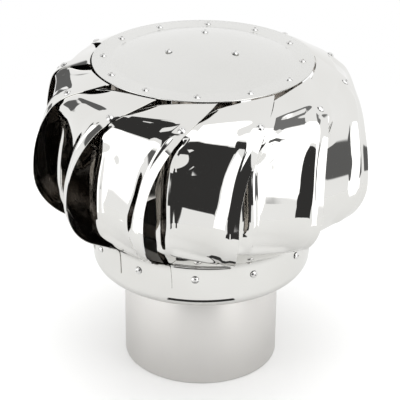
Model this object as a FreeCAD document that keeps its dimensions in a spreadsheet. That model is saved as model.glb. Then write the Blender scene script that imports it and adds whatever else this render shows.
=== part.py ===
import FreeCAD, Part
import math
import os

import Sketcher
from FreeCAD import Placement, Rotation, Vector

# A wind-driven rotating chimney cap in stainless steel.
# Twelve pressed blades hang between a domed disc and a pan-shaped ring, and turn with them on a
# shaft. The shaft runs in a bearing housing that a three-legged support holds in the base pipe.
# The origin is the centre of the pipe's open lower end, +Z is up and the unit is the millimetre.
# The rotor is drawn with a rivet on the -Y side, then turned by rotor_turn_degrees.

os.makedirs("parts", exist_ok=True)
doc = FreeCAD.newDocument("ChimneyCap")
sheet = doc.addObject("Spreadsheet::Sheet", "Sizes")


class Size:
    """A number with the sheet expression that gives it."""

    def __init__(self, text, value):
        self.text = text
        self.value = value

    def __add__(self, other):
        other = as_size(other)
        return Size(f"({self.text} + {other.text})", self.value + other.value)

    def __sub__(self, other):
        other = as_size(other)
        return Size(f"({self.text} - {other.text})", self.value - other.value)

    def __mul__(self, other):
        other = as_size(other)
        return Size(f"({self.text} * {other.text})", self.value * other.value)

    def __truediv__(self, other):
        other = as_size(other)
        return Size(f"({self.text} / {other.text})", self.value / other.value)

    def __radd__(self, other):
        return as_size(other) + self

    def __rsub__(self, other):
        return as_size(other) - self

    def __rmul__(self, other):
        return as_size(other) * self

    def __rtruediv__(self, other):
        return as_size(other) / self

    def __neg__(self):
        return Size(f"(0 - {self.text})", -self.value)


def as_size(thing):
    return thing if isinstance(thing, Size) else Size(str(thing), thing)


def sine(angle):
    return Size(f"sin({angle.text})", math.sin(math.radians(angle.value)))


def cosine(angle):
    return Size(f"cos({angle.text})", math.cos(math.radians(angle.value)))


def root(size):
    return Size(f"sqrt({size.text})", math.sqrt(size.value))


def side_of(hypotenuse, other_side):
    """The third side of a right-angled triangle."""
    return root(hypotenuse * hypotenuse - other_side * other_side)


def in_sheet(row, alias, number):
    """Put one driving dimension in the sheet, under its alias."""
    sheet.set(f"A{row}", alias.replace("_", " "))
    sheet.set(f"B{row}", str(number))
    sheet.setAlias(f"B{row}", alias)
    return Size(f"Sizes.{alias}", number)


# The driving dimensions, in millimetres. Those named degrees are angles, and those named share are
# parts of a blade's width.

# Fits and gaps
seat_gap = 0.1  # gap between curved sheets that seat on each other
hole_gap = 0.1  # radial gap round a rivet or screw in its hole
bearing_fit = 0.05  # radial gap of a bearing ring on the shaft or in the housing
ball_gap = 0.1  # gap between a ball and its grooves

# Base pipe
pipe_diameter = 150.0  # outside diameter, fits a 150 mm flue
pipe_gauge = 0.8  # sheet thickness of the pipe
pipe_height = 96.0  # height of the full-width wall
neck_drop = 2.0  # how much smaller the neck is, in radius
neck_slope = 6.0  # height of the cone below the neck
neck_height = 32.0  # height of the straight neck

# Lower pan
pan_radius = 105.0  # outside radius of the pan wall
pan_gauge = 0.8  # sheet thickness of the pan
pan_gap = 3.0  # height of the pan above the full-width pipe wall
pan_depth = 46.0  # height of the pan from its floor to its rim
pan_corner = 12.0  # outside radius of the pan's lower corner
pan_hole_gap = 4.0  # radial gap between the pan's hole and the pipe

# Rivets of the head
rivet_radius = 2.0  # radius of a rivet shank
rivet_head = 3.6  # radius of a rivet head
rivet_dome = 1.9  # height of a rivet head
rivet_tail = 3.0  # radius of the closed tail of a rivet
tail_height = 1.4  # height of the closed tail of a rivet
ring_rivet_drop = 13.0  # ring rivets below the pan's rim
rim_rivet_circle = 92.0  # radius of the circle of rim rivets
hub_rivet_circle = 35.0  # radius of the circle of hub rivets

# Blades
blade_count = 12  # number of blades and of rivets in each row
blade_gauge = 0.6  # sheet thickness of a blade
head_radius = 161.0  # radius to a blade's free edge at the widest place
blade_lap = 1.0  # step between two blades where one lies on the next
tab_reach = 11.0  # blade tab below its rivet
tab_length = 19.0  # straight part of the blade tab
crease_radius = 8.0  # radius of the crease above the tab
crease_degrees = 62.0  # angle turned outward at the crease
belly_radius = 52.0  # radius of the blade's lower curve
side_radius = 170.0  # radius of the blade's tall upper curve
side_degrees = 24.0  # angle turned inward along the upper curve
shoulder_radius = 42.0  # radius of the shoulder
brow_degrees = 64.0  # slope of the blade's top, from upright
rim_bend = 5.0  # radius of the bend that lays the blade's end flat under the disc
blade_reach = 1.4  # blade corner outside the disc's edge
slot_depth = 19.0  # step between two blades at the open slot
slot_rise = 30.0  # open slot at full depth above the widest place
corner_lift = 9.0  # step between two blades at the disc
corner_curl = 3.0  # how far that step keeps to the tucked part of the blade
twist_growth = 2.2  # how fast that lean grows towards the disc
free_edge_degrees = 14.5  # free edge past the ring rivet, in degrees
tab_flare_degrees = 3.9  # extra degrees of the free edge at the tab
twist_degrees = 25.5  # degrees the blade leans round above the widest place
tab_degrees = 33.4  # width of the tab in degrees
waist_degrees = 27.0  # width of the blade in degrees at the widest place
lap_degrees = 36.0  # width of the blade in degrees at the blade rivet
top_degrees = 38.0  # width of the blade in degrees at the disc
blade_rivet_drop = 6.0  # blade rivet below the end of the shoulder
blade_rivet_seat = 4.5  # blades lie flat on each other this far from their rivet
rivet_inset_degrees = 3.0  # blade rivet inside both edges, in degrees
press_width = 80.0  # width of the blade that the next places are measured on, from the free edge
free_foot = 7.0  # end of the free margin and foot of the free rib
free_crest = 9.5  # start of the free rib's crest
crest_end = 13.5  # end of the free rib's crest and start of the long ramp
panel_start = 25.5  # foot of the long ramp and start of the flat panel
panel_end = 61.0  # end of the flat panel and foot of the inner rib
inner_crest_start = 65.0  # start of the inner rib's crest
inner_crest_end = 70.0  # end of the inner rib's crest
inner_foot = 75.0  # start of the tucked margin
inner_shift = 8.0  # the inner rib's way to the free edge, from the widest place to the blade rivet
crest_rise = 0.9  # free rib over the free margin
panel_sink = 2.6  # panel under the free margin
inner_rise = 2.4  # inner rib over the panel and the tucked margin
press_fade = 9.0  # length over which a rib fades out
panel_past_rivet = 9.0  # sunk panel ends this far above the blade rivet
panel_end_ramp = 6.0  # length of the ramp at the panel's upper end
corner_reach = 1.8  # half the width of a pressed corner's round
tilt_limit = 16.0  # most that a line across the panel dips to its free end, in degrees
lug_inner_radius = 84.0  # inner end of the lug under the disc
lug_degrees = 14.0  # width of the lug in degrees
rim_rivet_degrees = 30.0  # rim rivet past the ring rivet, in degrees

# Top disc
disc_radius = 102.6  # radius of the disc
disc_gauge = 1.2  # sheet thickness of the disc
dome_edge = 84.0  # radius where the dome starts
dome_rise = 15.0  # height of the dome above the rim band
dome_fillet = 8.0  # radius between the rim band and the dome

# Hub under the dome
hub_gauge = 3.0  # thickness of the hub's ears
hub_ear_margin = 9.0  # hub ear outside its rivet
hub_ear_width = 20.0  # width of a hub ear
hub_plate_radius = 22.0  # radius of the hub plate between the ears
boss_radius = 13.0  # radius of the hub's boss
boss_length = 24.0  # length of the boss below the plate
pin_radius = 2.0  # radius of the cross pin
pin_bore = 1.0  # radius of the hollow in the cross pin

# Support across the pipe
leg_count = 3  # number of legs, and of hub ears and housing screws
leg_width = 22.0  # width of a leg
leg_gauge = 2.5  # thickness of the support
ear_height = 24.0  # height of an ear against the pipe
support_drop = 26.0  # support plate below the top of the pipe
support_plate_radius = 34.0  # radius of the middle plate
leg_rivet_low = 8.0  # lower leg rivet above the plate
leg_rivet_pitch = 10.0  # distance between a leg's rivets

# Bearings and housing
shaft_radius = 6.0  # radius of the shaft
bearing_outer = 16.0  # outside radius of a bearing
bearing_width = 10.0  # width of a bearing
inner_ring_radius = 9.2  # outside radius of the inner ring
outer_ring_bore = 12.8  # inside radius of the outer ring
ball_circle = 11.0  # radius of the circle of balls
ball_radius = 3.0  # radius of a ball
ball_count = 7  # balls in a bearing
housing_radius = 20.0  # outside radius of the housing
housing_shoulder = 14.0  # bore between the bearings
housing_length = 44.0  # length of the housing
flange_radius = 32.0  # radius of the housing's flange
flange_gauge = 4.0  # thickness of the housing's flange
cover_gauge = 2.0  # thickness of the bearing cover
collar_radius = 8.0  # radius of the shaft's collar
collar_height = 4.0  # height of the shaft's collar
collar_gap = 1.5  # radial gap between the collar and the cover
screw_circle = 26.0  # radius of the circle of housing screws
screw_radius = 2.5  # radius of a housing screw
screw_head = 4.5  # radius of a screw head
screw_head_height = 3.0  # height of a screw head
nut_flat = 4.0  # half the width of a nut across its flats
nut_height = 4.0  # height of a nut
screw_end = 1.0  # screw past its nut
thread_radius = 5.0  # radius of the thread at the shaft's lower end
washer_radius = 8.5  # radius of the shaft washer
washer_gauge = 1.5  # thickness of the shaft washer
locknut_flat = 8.0  # half the width of the locknut across its flats
locknut_height = 6.0  # height of the locknut
cap_gauge = 1.0  # thickness of the grease cap
cap_overlap = 9.0  # grease cap over the end of the housing
cap_space = 2.0  # space under the shaft in the grease cap
thread_end = 2.0  # thread past the locknut

rotor_turn_degrees = -3.0  # turn of the rotor about +Z, in degrees

# Every number above goes into the sheet, and from here on its name stands for that cell
driving = {name: number for name, number in globals().items() if isinstance(number, (int, float))}
for place, (name, number) in enumerate(driving.items(), start=1):
    globals()[name] = in_sheet(place, name, number)
sheet.recompute()
ZERO = Size("0", 0.0)

# Places that follow from the driving dimensions
pipe_radius = pipe_diameter / 2
neck_radius = pipe_radius - neck_drop
neck_start = pipe_height + neck_slope
pipe_top = neck_start + neck_height
pan_floor = pipe_height + pan_gap
pan_rim = pan_floor + pan_depth
ring_rivet_height = pan_rim - ring_rivet_drop
tab_bottom = ring_rivet_height - tab_reach
tab_face = pan_radius + seat_gap + blade_gauge + blade_lap
crease_sine = sine(crease_degrees)
crease_cosine = cosine(crease_degrees)
under_run = (head_radius - tab_face - (crease_radius + belly_radius) * (1 - crease_cosine)) / crease_sine
shoulder_start_radius = head_radius - side_radius * (1 - cosine(side_degrees))
brow_radius = shoulder_start_radius - shoulder_radius * (cosine(side_degrees) - cosine(brow_degrees))
blade_top_radius = disc_radius + blade_reach
brow_run = (brow_radius - rim_bend * cosine(brow_degrees) - blade_top_radius) / sine(brow_degrees)
belly_rise = (crease_radius + belly_radius) * crease_sine
widest_height = tab_bottom + tab_length + belly_rise + under_run * crease_cosine
brow_height = (widest_height + side_radius * sine(side_degrees)
               + shoulder_radius * (sine(brow_degrees) - sine(side_degrees)))
disc_underside = brow_height + brow_run * cosine(brow_degrees) + rim_bend * (1 - sine(brow_degrees))
disc_top = disc_underside + disc_gauge
dome_radius = (dome_edge * dome_edge + dome_rise * dome_rise) / (2 * dome_rise)
dome_centre = disc_top + dome_rise - dome_radius
dome_inside = dome_radius - disc_gauge
hub_top_radius = dome_inside - seat_gap
hub_under_radius = hub_top_radius - hub_gauge
support_floor = pipe_top - support_drop
flange_floor = support_floor + leg_gauge
housing_top = flange_floor + flange_gauge
housing_floor = housing_top - housing_length
cover_top = housing_top + cover_gauge
upper_bearing_floor = housing_top - bearing_width
cap_wall_radius = housing_radius + seat_gap
locknut_floor = housing_floor - washer_gauge - locknut_height
shaft_end = locknut_floor - thread_end
cap_inside = shaft_end - cap_space
boss_bottom = dome_centre + side_of(hub_under_radius, boss_radius) - boss_length
shaft_top = dome_centre + side_of(hub_top_radius, shaft_radius) - seat_gap
pin_height = boss_bottom + boss_length / 2


def new_body(label):
    body = doc.addObject("PartDesign::Body", label)
    body.Label = label
    body.AllowCompound = True
    return body


def new_sketch(body, name, plane):
    """A sketch on one of the body's own origin planes."""
    sketch = body.newObject("Sketcher::SketchObject", name)
    origin_plane = [item for item in body.Origin.OriginFeatures if item.Role == plane][0]
    sketch.AttachmentSupport = [(origin_plane, "")]
    sketch.MapMode = "FlatFace"
    return sketch


def held(sketch, kind, places, size):
    """Add one constraint and bind it to the sheet."""
    index = sketch.addConstraint(Sketcher.Constraint(kind, *places, size.value))
    sketch.setExpression(f"Constraints[{index}]", size.text)


def pin_point(sketch, curve, end, x, y):
    """Hold one point of a curve at x, y from the sketch's origin."""
    held(sketch, "DistanceX", (-1, 1, curve, end), x)
    held(sketch, "DistanceY", (-1, 1, curve, end), y)


def outline(sketch, corners):
    """Draw a closed outline. A corner is x, y and, where an arc follows it, that arc's radius,
    minus where the arc turns clockwise."""
    corners = [tuple(as_size(part) for part in corner) for corner in corners]
    ends = []
    for corner, following in zip(corners, corners[1:] + corners[:1]):
        start = Vector(corner[0].value, corner[1].value, 0)
        finish = Vector(following[0].value, following[1].value, 0)
        if len(corner) == 2:
            index = sketch.addGeometry(Part.LineSegment(start, finish), False)
            ends.append((index, 1, 2))
            continue
        radius = abs(corner[2].value)
        turning = 1 if corner[2].value > 0 else -1
        chord = finish - start
        sideways = Vector(-chord.y, chord.x, 0).normalize() * turning
        centre = (start + finish) / 2 + sideways * math.sqrt(radius ** 2 - chord.Length ** 2 / 4)
        first, last = (start, finish) if turning > 0 else (finish, start)
        circle = Part.Circle(centre, Vector(0, 0, 1), radius)
        arc = Part.ArcOfCircle(circle, circle.parameter(first), circle.parameter(last))
        index = sketch.addGeometry(arc, False)
        held(sketch, "Radius", (index,), corner[2] if turning > 0 else -corner[2])
        ends.append((index, 1, 2) if turning > 0 else (index, 2, 1))
    for place, (corner, (curve, begin, finish)) in enumerate(zip(corners, ends)):
        before, _, before_end = ends[place - 1]
        sketch.addConstraint(Sketcher.Constraint("Coincident", before, before_end, curve, begin))
        pin_point(sketch, curve, begin, corner[0], corner[1])


def round_outline(sketch, x, y, radius):
    """Draw a circle held by its centre and radius."""
    index = sketch.addGeometry(Part.Circle(Vector(x.value, y.value, 0), Vector(0, 0, 1), radius.value), False)
    held(sketch, "Radius", (index,), radius)
    pin_point(sketch, index, 3, x, y)


def axis_line(sketch, x, y, across, up):
    """Draw the construction line that a rivet is turned about, from x, y along across, up."""
    index = sketch.addGeometry(
        Part.LineSegment(Vector(x.value, y.value, 0), Vector((x + across).value, (y + up).value, 0)), True)
    pin_point(sketch, index, 1, x, y)
    pin_point(sketch, index, 2, x + across, y + up)


def turned(body, name, corners, axis=None):
    """Revolve an outline in the XZ plane about +Z, or about the line given as x, y, across, up."""
    sketch = new_sketch(body, name + "_outline", "XZ_Plane")
    outline(sketch, corners)
    if axis:
        axis_line(sketch, *axis)
    doc.recompute()
    feature = body.newObject("PartDesign::Revolution", name)
    feature.Profile = sketch
    feature.ReferenceAxis = (sketch, ["Axis0" if axis else "V_Axis"])
    feature.Angle = 360
    doc.recompute()
    return feature


def padded(body, name, plane, draw, length):
    """Extrude what `draw` puts in a sketch."""
    sketch = new_sketch(body, name + "_outline", plane)
    draw(sketch)
    doc.recompute()
    feature = body.newObject("PartDesign::Pad", name)
    feature.Profile = sketch
    feature.setExpression("Length", length.text)
    doc.recompute()
    return feature


def pocketed(body, name, plane, draw, reverse=False, both=False):
    """Cut right through with what `draw` puts in a sketch."""
    before = body.Shape.Volume
    sketch = new_sketch(body, name + "_outline", plane)
    draw(sketch)
    doc.recompute()
    feature = body.newObject("PartDesign::Pocket", name)
    feature.Profile = sketch
    feature.Type = "ThroughAll"
    feature.Reversed = reverse
    if both:
        feature.Midplane = True
    doc.recompute()
    if body.Shape.Volume >= before - 1e-3:
        raise RuntimeError(f"{name} cuts nothing")
    return feature


def ringed(body, name, feature, count):
    """Repeat a feature round +Z."""
    pattern = body.newObject("PartDesign::PolarPattern", name)
    pattern.Originals = [feature]
    z_axis = [item for item in body.Origin.OriginFeatures if item.Role == "Z_Axis"][0]
    pattern.Axis = (z_axis, [""])
    pattern.Angle = 360
    pattern.setExpression("Occurrences", count.text)
    body.Tip = pattern
    doc.recompute()
    return pattern


def lifted(body, height):
    """Raise a body whose sketch lies in the XY plane."""
    body.setExpression("Placement.Base.z", height.text)


def turn_with_rotor(body):
    """Give a body of the rotor the rotor's turn."""
    body.setExpression("Placement.Rotation.Angle", rotor_turn_degrees.text)


def hollow_under(wall_radius, half_width):
    """How far a flat disc stands off the middle of a hollow round wall that its edge touches."""
    return wall_radius - side_of(wall_radius, half_width)


def rivet(body, name, x, y, lean, grip, head, dome, shank, tail, tail_up):
    """One rivet turned about a line from x, y. It points its head along the line, which leans
    by `lean` degrees from +Z towards +X, and grips sheets as thick as `grip`."""
    along = (sine(lean), cosine(lean))
    aside = (cosine(lean), -sine(lean))

    def place(out, up):
        return x + aside[0] * out + along[0] * up, y + aside[1] * out + along[1] * up

    dome_arc = (head * head + dome * dome) / (2 * dome)
    corners = [
        place(ZERO, -grip - tail_up),
        place(tail, -grip - tail_up),
        place(tail, -grip),
        place(shank, -grip),
        place(shank, ZERO),
        (*place(head, ZERO), dome_arc),
        place(ZERO, dome),
    ]
    return turned(body, name, corners, (x, y, along[0], along[1]))


# Base pipe
def make_base_pipe():
    body = new_body("base_pipe")
    wall = [
        (pipe_radius - pipe_gauge, ZERO),
        (pipe_radius, ZERO),
        (pipe_radius, pipe_height),
        (neck_radius, neck_start),
        (neck_radius, pipe_top),
        (neck_radius - pipe_gauge, pipe_top),
        (neck_radius - pipe_gauge, neck_start),
        (pipe_radius - pipe_gauge, pipe_height),
    ]
    turned(body, "pipe_wall", wall)
    leg_rivet_holes(body)


def leg_rivet_holes(body):
    """The holes for a leg's two rivets, on each leg."""
    def holes(sketch):
        for height in leg_rivet_heights():
            round_outline(sketch, ZERO, height, rivet_radius + hole_gap)

    cut = pocketed(body, "leg_rivet_holes", "XZ_Plane", holes, reverse=True)
    ringed(body, "leg_rivet_hole_ring", cut, leg_count)


def leg_rivet_heights():
    low = support_floor + leg_rivet_low
    return low, low + leg_rivet_pitch


# Support across the pipe
def window_between(sketch, plate_radius, strip_width, reach):
    """The opening between one leg on the -Y side and the next, outside a round plate."""
    half = strip_width / 2
    near = side_of(plate_radius, half)
    step = 360 / leg_count
    turn_cosine = cosine(step)
    turn_sine = sine(step)

    def on_next(distance):
        return turn_cosine * -half + turn_sine * distance, turn_sine * -half - turn_cosine * distance

    corner_x = sine(step / 2) * reach * 2
    corner_y = -cosine(step / 2) * reach * 2
    sketch_corners = [
        (half, -reach),
        (corner_x, corner_y),
        on_next(reach),
        on_next(near),
        (half, -near),
    ]
    sketch_corners[3] = (*sketch_corners[3], -plate_radius)
    outline(sketch, sketch_corners)


def make_support():
    body = new_body("support_spider")
    ear_face = neck_radius - pipe_gauge - seat_gap
    hole = housing_radius + hole_gap
    section = [
        (hole, support_floor),
        (ear_face, support_floor),
        (ear_face, support_floor + ear_height),
        (ear_face - leg_gauge, support_floor + ear_height),
        (ear_face - leg_gauge, flange_floor),
        (hole, flange_floor),
    ]
    turned(body, "dish", section)
    window = pocketed(body, "window", "XY_Plane",
                      lambda sketch: window_between(sketch, support_plate_radius, leg_width, pipe_radius),
                      reverse=True)
    ringed(body, "windows", window, leg_count)
    leg_rivet_holes(body)
    screw = pocketed(body, "screw_hole", "XY_Plane", screw_hole, reverse=True)
    ringed(body, "screw_holes", screw, leg_count)


def screw_hole(sketch):
    """A housing screw's hole, on the +Y side, between two legs."""
    round_outline(sketch, ZERO, screw_circle, screw_radius + hole_gap)


def make_leg_rivets():
    """Two rivets through each ear, heads inside the pipe."""
    body = new_body("support_rivets")
    ear_inside = neck_radius - pipe_gauge - seat_gap - leg_gauge
    heads_at = ear_inside - hollow_under(ear_inside, rivet_head)
    grip = neck_radius - heads_at
    for number, height in enumerate(leg_rivet_heights(), start=1):
        one = rivet(body, f"rivet_{number}", heads_at, height, Size("-90", -90.0), grip,
                    rivet_head, rivet_dome, rivet_radius, rivet_tail, tail_height)
        ringed(body, f"rivets_{number}", one, leg_count)
    body.Placement = Placement(Vector(), Rotation(Vector(0, 0, 1), -90))


# Bearing housing
def make_housing():
    body = new_body("bearing_housing")
    seat = bearing_outer + bearing_fit
    wall = [
        (seat, housing_floor),
        (housing_radius, housing_floor),
        (housing_radius, flange_floor),
        (flange_radius, flange_floor),
        (flange_radius, housing_top),
        (seat, housing_top),
        (seat, upper_bearing_floor),
        (housing_shoulder, upper_bearing_floor),
        (housing_shoulder, housing_floor + bearing_width),
        (seat, housing_floor + bearing_width),
    ]
    turned(body, "housing_wall", wall)
    screw = pocketed(body, "screw_hole", "XY_Plane", screw_hole, reverse=True)
    ringed(body, "screw_holes", screw, leg_count)


def make_cover():
    body = new_body("bearing_cover")
    hole = collar_radius + collar_gap
    ring = [
        (hole, housing_top),
        (flange_radius, housing_top),
        (flange_radius, cover_top),
        (hole, cover_top),
    ]
    turned(body, "cover_plate", ring)
    screw = pocketed(body, "screw_hole", "XY_Plane", screw_hole, reverse=True)
    ringed(body, "screw_holes", screw, leg_count)


def make_housing_screws():
    body = new_body("housing_screws")
    end = support_floor - nut_height - screw_end
    dome = screw_head_height / 2
    dome_arc = (screw_head * screw_head + dome * dome) / (2 * dome)
    corners = [
        (screw_circle, end),
        (screw_circle + screw_radius, end),
        (screw_circle + screw_radius, cover_top),
        (screw_circle + screw_head, cover_top),
        (screw_circle + screw_head, cover_top + dome, dome_arc),
        (screw_circle, cover_top + screw_head_height),
    ]
    screw = turned(body, "screw", corners, (screw_circle, end, ZERO, nut_height))
    ringed(body, "screws", screw, leg_count)
    body.Placement = Placement(Vector(), Rotation(Vector(0, 0, 1), 90))


def hexagon(sketch, x, y, half_flat):
    corner = half_flat / cosine(Size("30", 30.0))
    turns = [Size(str(turn), float(turn)) for turn in range(0, 360, 60)]
    points = [(x + corner * cosine(turn), y + corner * sine(turn)) for turn in turns]
    outline(sketch, points)


def make_housing_nuts():
    body = new_body("housing_nuts")

    def nut(sketch):
        hexagon(sketch, ZERO, screw_circle, nut_flat)
        round_outline(sketch, ZERO, screw_circle, screw_radius + hole_gap)

    one = padded(body, "nut", "XY_Plane", nut, nut_height)
    ringed(body, "nuts", one, leg_count)
    lifted(body, support_floor - nut_height)


def make_grease_cap():
    body = new_body("grease_cap")
    outside = cap_wall_radius + cap_gauge
    top = housing_floor + cap_overlap
    cup = [
        (ZERO, cap_inside - cap_gauge),
        (outside, cap_inside - cap_gauge),
        (outside, top),
        (cap_wall_radius, top),
        (cap_wall_radius, cap_inside),
        (ZERO, cap_inside),
    ]
    turned(body, "cup", cup)


# Ball bearings
def make_bearing(name, floor):
    """Outer ring, inner ring and balls of one bearing that stands on `floor`."""
    middle = floor + bearing_width / 2
    top = floor + bearing_width
    groove = ball_radius + ball_gap
    outer_half = side_of(groove, outer_ring_bore - ball_circle)
    outer = new_body(f"{name}_outer_ring")
    turned(outer, "ring", [
        (outer_ring_bore, floor),
        (bearing_outer, floor),
        (bearing_outer, top),
        (outer_ring_bore, top),
        (outer_ring_bore, middle + outer_half, -groove),
        (outer_ring_bore, middle - outer_half),
    ])
    inner_half = side_of(groove, ball_circle - inner_ring_radius)
    inner = new_body(f"{name}_inner_ring")
    turned(inner, "ring", [
        (shaft_radius + bearing_fit, floor),
        (inner_ring_radius, floor),
        (inner_ring_radius, middle - inner_half, -groove),
        (inner_ring_radius, middle + inner_half),
        (inner_ring_radius, top),
        (shaft_radius + bearing_fit, top),
    ])
    turn_with_rotor(inner)
    balls = new_body(f"{name}_balls")
    ball = turned(balls, "ball", [
        (ball_circle, middle - ball_radius, ball_radius),
        (ball_circle + ball_radius, middle, ball_radius),
        (ball_circle, middle + ball_radius),
    ], (ball_circle, middle, ZERO, ball_radius))
    ringed(balls, "balls", ball, ball_count)


# Shaft and what is on it
def make_shaft():
    body = new_body("shaft")
    corners = [
        (ZERO, shaft_end),
        (thread_radius, shaft_end),
        (thread_radius, housing_floor),
        (shaft_radius, housing_floor),
        (shaft_radius, housing_top),
        (collar_radius, housing_top),
        (collar_radius, housing_top + collar_height),
        (shaft_radius, housing_top + collar_height),
        (shaft_radius, shaft_top),
        (ZERO, shaft_top),
    ]
    turned(body, "rod", corners)
    pocketed(body, "pin_hole", "XZ_Plane",
             lambda sketch: round_outline(sketch, ZERO, pin_height, pin_radius + hole_gap), both=True)
    turn_with_rotor(body)


def make_spacer():
    body = new_body("bearing_spacer")
    bore = shaft_radius + bearing_fit
    floor = housing_floor + bearing_width
    turned(body, "tube", [
        (bore, floor),
        (inner_ring_radius, floor),
        (inner_ring_radius, upper_bearing_floor),
        (bore, upper_bearing_floor),
    ])
    turn_with_rotor(body)


def make_shaft_washer():
    body = new_body("shaft_washer")
    bore = thread_radius + hole_gap
    floor = housing_floor - washer_gauge
    turned(body, "plate", [
        (bore, floor),
        (washer_radius, floor),
        (washer_radius, housing_floor),
        (bore, housing_floor),
    ])
    turn_with_rotor(body)


def make_locknut():
    body = new_body("shaft_locknut")

    def nut(sketch):
        hexagon(sketch, ZERO, ZERO, locknut_flat)
        round_outline(sketch, ZERO, ZERO, thread_radius + hole_gap)

    padded(body, "nut", "XY_Plane", nut, locknut_height)
    lifted(body, locknut_floor)
    turn_with_rotor(body)


# Hub under the dome
def make_hub():
    body = new_body("top_hub")
    bore = shaft_radius + bearing_fit
    ear_end = hub_rivet_circle + hub_ear_margin

    def dome_height(radius, ball):
        return dome_centre + side_of(ball, radius)

    corners = [
        (bore, boss_bottom),
        (boss_radius, boss_bottom),
        (boss_radius, dome_height(boss_radius, hub_under_radius), -hub_under_radius),
        (ear_end, dome_height(ear_end, hub_under_radius)),
        (ear_end, dome_height(ear_end, hub_top_radius), hub_top_radius),
        (bore, dome_height(bore, hub_top_radius)),
    ]
    turned(body, "plate_and_boss", corners)
    window = pocketed(body, "window", "XY_Plane",
                      lambda sketch: window_between(sketch, hub_plate_radius, hub_ear_width, dome_edge),
                      reverse=True)
    ringed(body, "ears", window, leg_count)
    hole = pocketed(body, "rivet_hole", "XY_Plane",
                    lambda sketch: round_outline(sketch, ZERO, -hub_rivet_circle, rivet_radius + hole_gap),
                    reverse=True)
    ringed(body, "rivet_holes", hole, leg_count)
    pocketed(body, "pin_hole", "XZ_Plane",
             lambda sketch: round_outline(sketch, ZERO, pin_height, pin_radius + hole_gap), both=True)
    body.Placement = Placement(Vector(), Rotation(Vector(0, 0, 1), 180))
    body.setExpression("Placement.Rotation.Angle", (rotor_turn_degrees + 180).text)


def make_hub_pin():
    """The hollow pin across the boss and the shaft."""
    body = new_body("hub_pin")

    def ring(sketch):
        round_outline(sketch, ZERO, pin_height, pin_radius)
        round_outline(sketch, ZERO, pin_height, pin_bore)

    pin = padded(body, "tube", "XZ_Plane", ring, boss_radius * 2)
    pin.Midplane = True
    turn_with_rotor(body)


def make_hub_rivets():
    """Rivets through the dome and the hub's ears, upright like their holes."""
    body = new_body("hub_rivets")
    seat = dome_centre + side_of(dome_radius, hub_rivet_circle - rivet_head)
    foot = dome_centre + side_of(hub_under_radius, hub_rivet_circle + rivet_tail)
    one = rivet(body, "rivet", hub_rivet_circle, seat, ZERO, seat - foot,
                rivet_head, rivet_dome, rivet_radius, rivet_tail, tail_height)
    ringed(body, "rivets", one, leg_count)
    body.Placement = Placement(Vector(), Rotation(Vector(0, 0, 1), 90))
    body.setExpression("Placement.Rotation.Angle", (rotor_turn_degrees + 90).text)


# Top disc
def make_top_disc():
    body = new_body("top_disc")
    inside_edge = side_of(dome_inside, disc_underside - dome_centre)
    corners = [
        (ZERO, dome_centre + dome_inside, -dome_inside),
        (inside_edge, disc_underside),
        (disc_radius, disc_underside),
        (disc_radius, disc_top),
        (dome_edge, disc_top, dome_radius),
        (ZERO, disc_top + dome_rise),
    ]
    turned(body, "domed_plate", corners)
    soften_dome_edge(body, inside_edge)
    rim = pocketed(body, "rim_rivet_hole", "XY_Plane",
                   lambda sketch: round_outline(sketch, ZERO, -rim_rivet_circle, rivet_radius + hole_gap),
                   reverse=True)
    ringed(body, "rim_rivet_holes", rim, blade_count)
    hub = pocketed(body, "hub_rivet_hole", "XY_Plane",
                   lambda sketch: round_outline(sketch, ZERO, hub_rivet_circle, rivet_radius + hole_gap),
                   reverse=True)
    ringed(body, "hub_rivet_holes", hub, leg_count)
    turn_with_rotor(body)


def soften_dome_edge(body, inside_edge):
    """Round the dome into the rim band, above and below."""
    for name, radius, ring, height in (("upper", dome_fillet, dome_edge, disc_top),
                                       ("lower", dome_fillet + disc_gauge, inside_edge, disc_underside)):
        edges = [f"Edge{number}" for number, edge in enumerate(body.Shape.Edges, start=1)
                 if abs(edge.BoundBox.ZMin - height.value) < 0.01
                 and abs(edge.BoundBox.ZMax - height.value) < 0.01
                 and abs(edge.BoundBox.XMax - ring.value) < 0.01]
        base = body.Tip
        fillet = body.newObject("PartDesign::Fillet", f"dome_fillet_{name}")
        fillet.Base = (base, edges)
        fillet.setExpression("Radius", radius.text)
        body.Tip = fillet
        doc.recompute()


def make_rim_rivets():
    body = new_body("rim_rivets")
    one = rivet(body, "rivet", rim_rivet_circle, disc_top, ZERO, disc_gauge + blade_gauge,
                rivet_head, rivet_dome, rivet_radius, rivet_tail, tail_height)
    ringed(body, "rivets", one, blade_count)
    turn_with_rotor(body)


# Lower pan
def make_lower_pan():
    body = new_body("lower_pan")
    hole = pipe_radius + pan_hole_gap
    corner_start = pan_radius - pan_corner
    inner_corner = pan_corner - pan_gauge
    inside = pan_radius - pan_gauge
    corners = [
        (hole, pan_floor),
        (corner_start, pan_floor, pan_corner),
        (pan_radius, pan_floor + pan_corner),
        (pan_radius, pan_rim),
        (inside, pan_rim),
        (inside, pan_floor + pan_corner, -inner_corner),
        (corner_start, pan_floor + pan_gauge),
        (hole, pan_floor + pan_gauge),
    ]
    turned(body, "pan", corners)
    hole_cut = pocketed(body, "ring_rivet_hole", "XZ_Plane",
                        lambda sketch: round_outline(sketch, ZERO, ring_rivet_height,
                                                     rivet_radius + hole_gap),
                        reverse=True)
    ringed(body, "ring_rivet_holes", hole_cut, blade_count)
    turn_with_rotor(body)


def make_ring_rivets():
    """Rivets through the tabs and the pan wall, heads outside."""
    body = new_body("ring_rivets")
    pan_inside = pan_radius - pan_gauge
    tails_at = pan_inside - hollow_under(pan_inside, rivet_tail)
    one = rivet(body, "rivet", tab_face, ring_rivet_height, Size("90", 90.0), tab_face - tails_at,
                rivet_head, rivet_dome, rivet_radius, rivet_tail, tail_height)
    ringed(body, "rivets", one, blade_count)
    turn_with_rotor(body)


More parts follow.
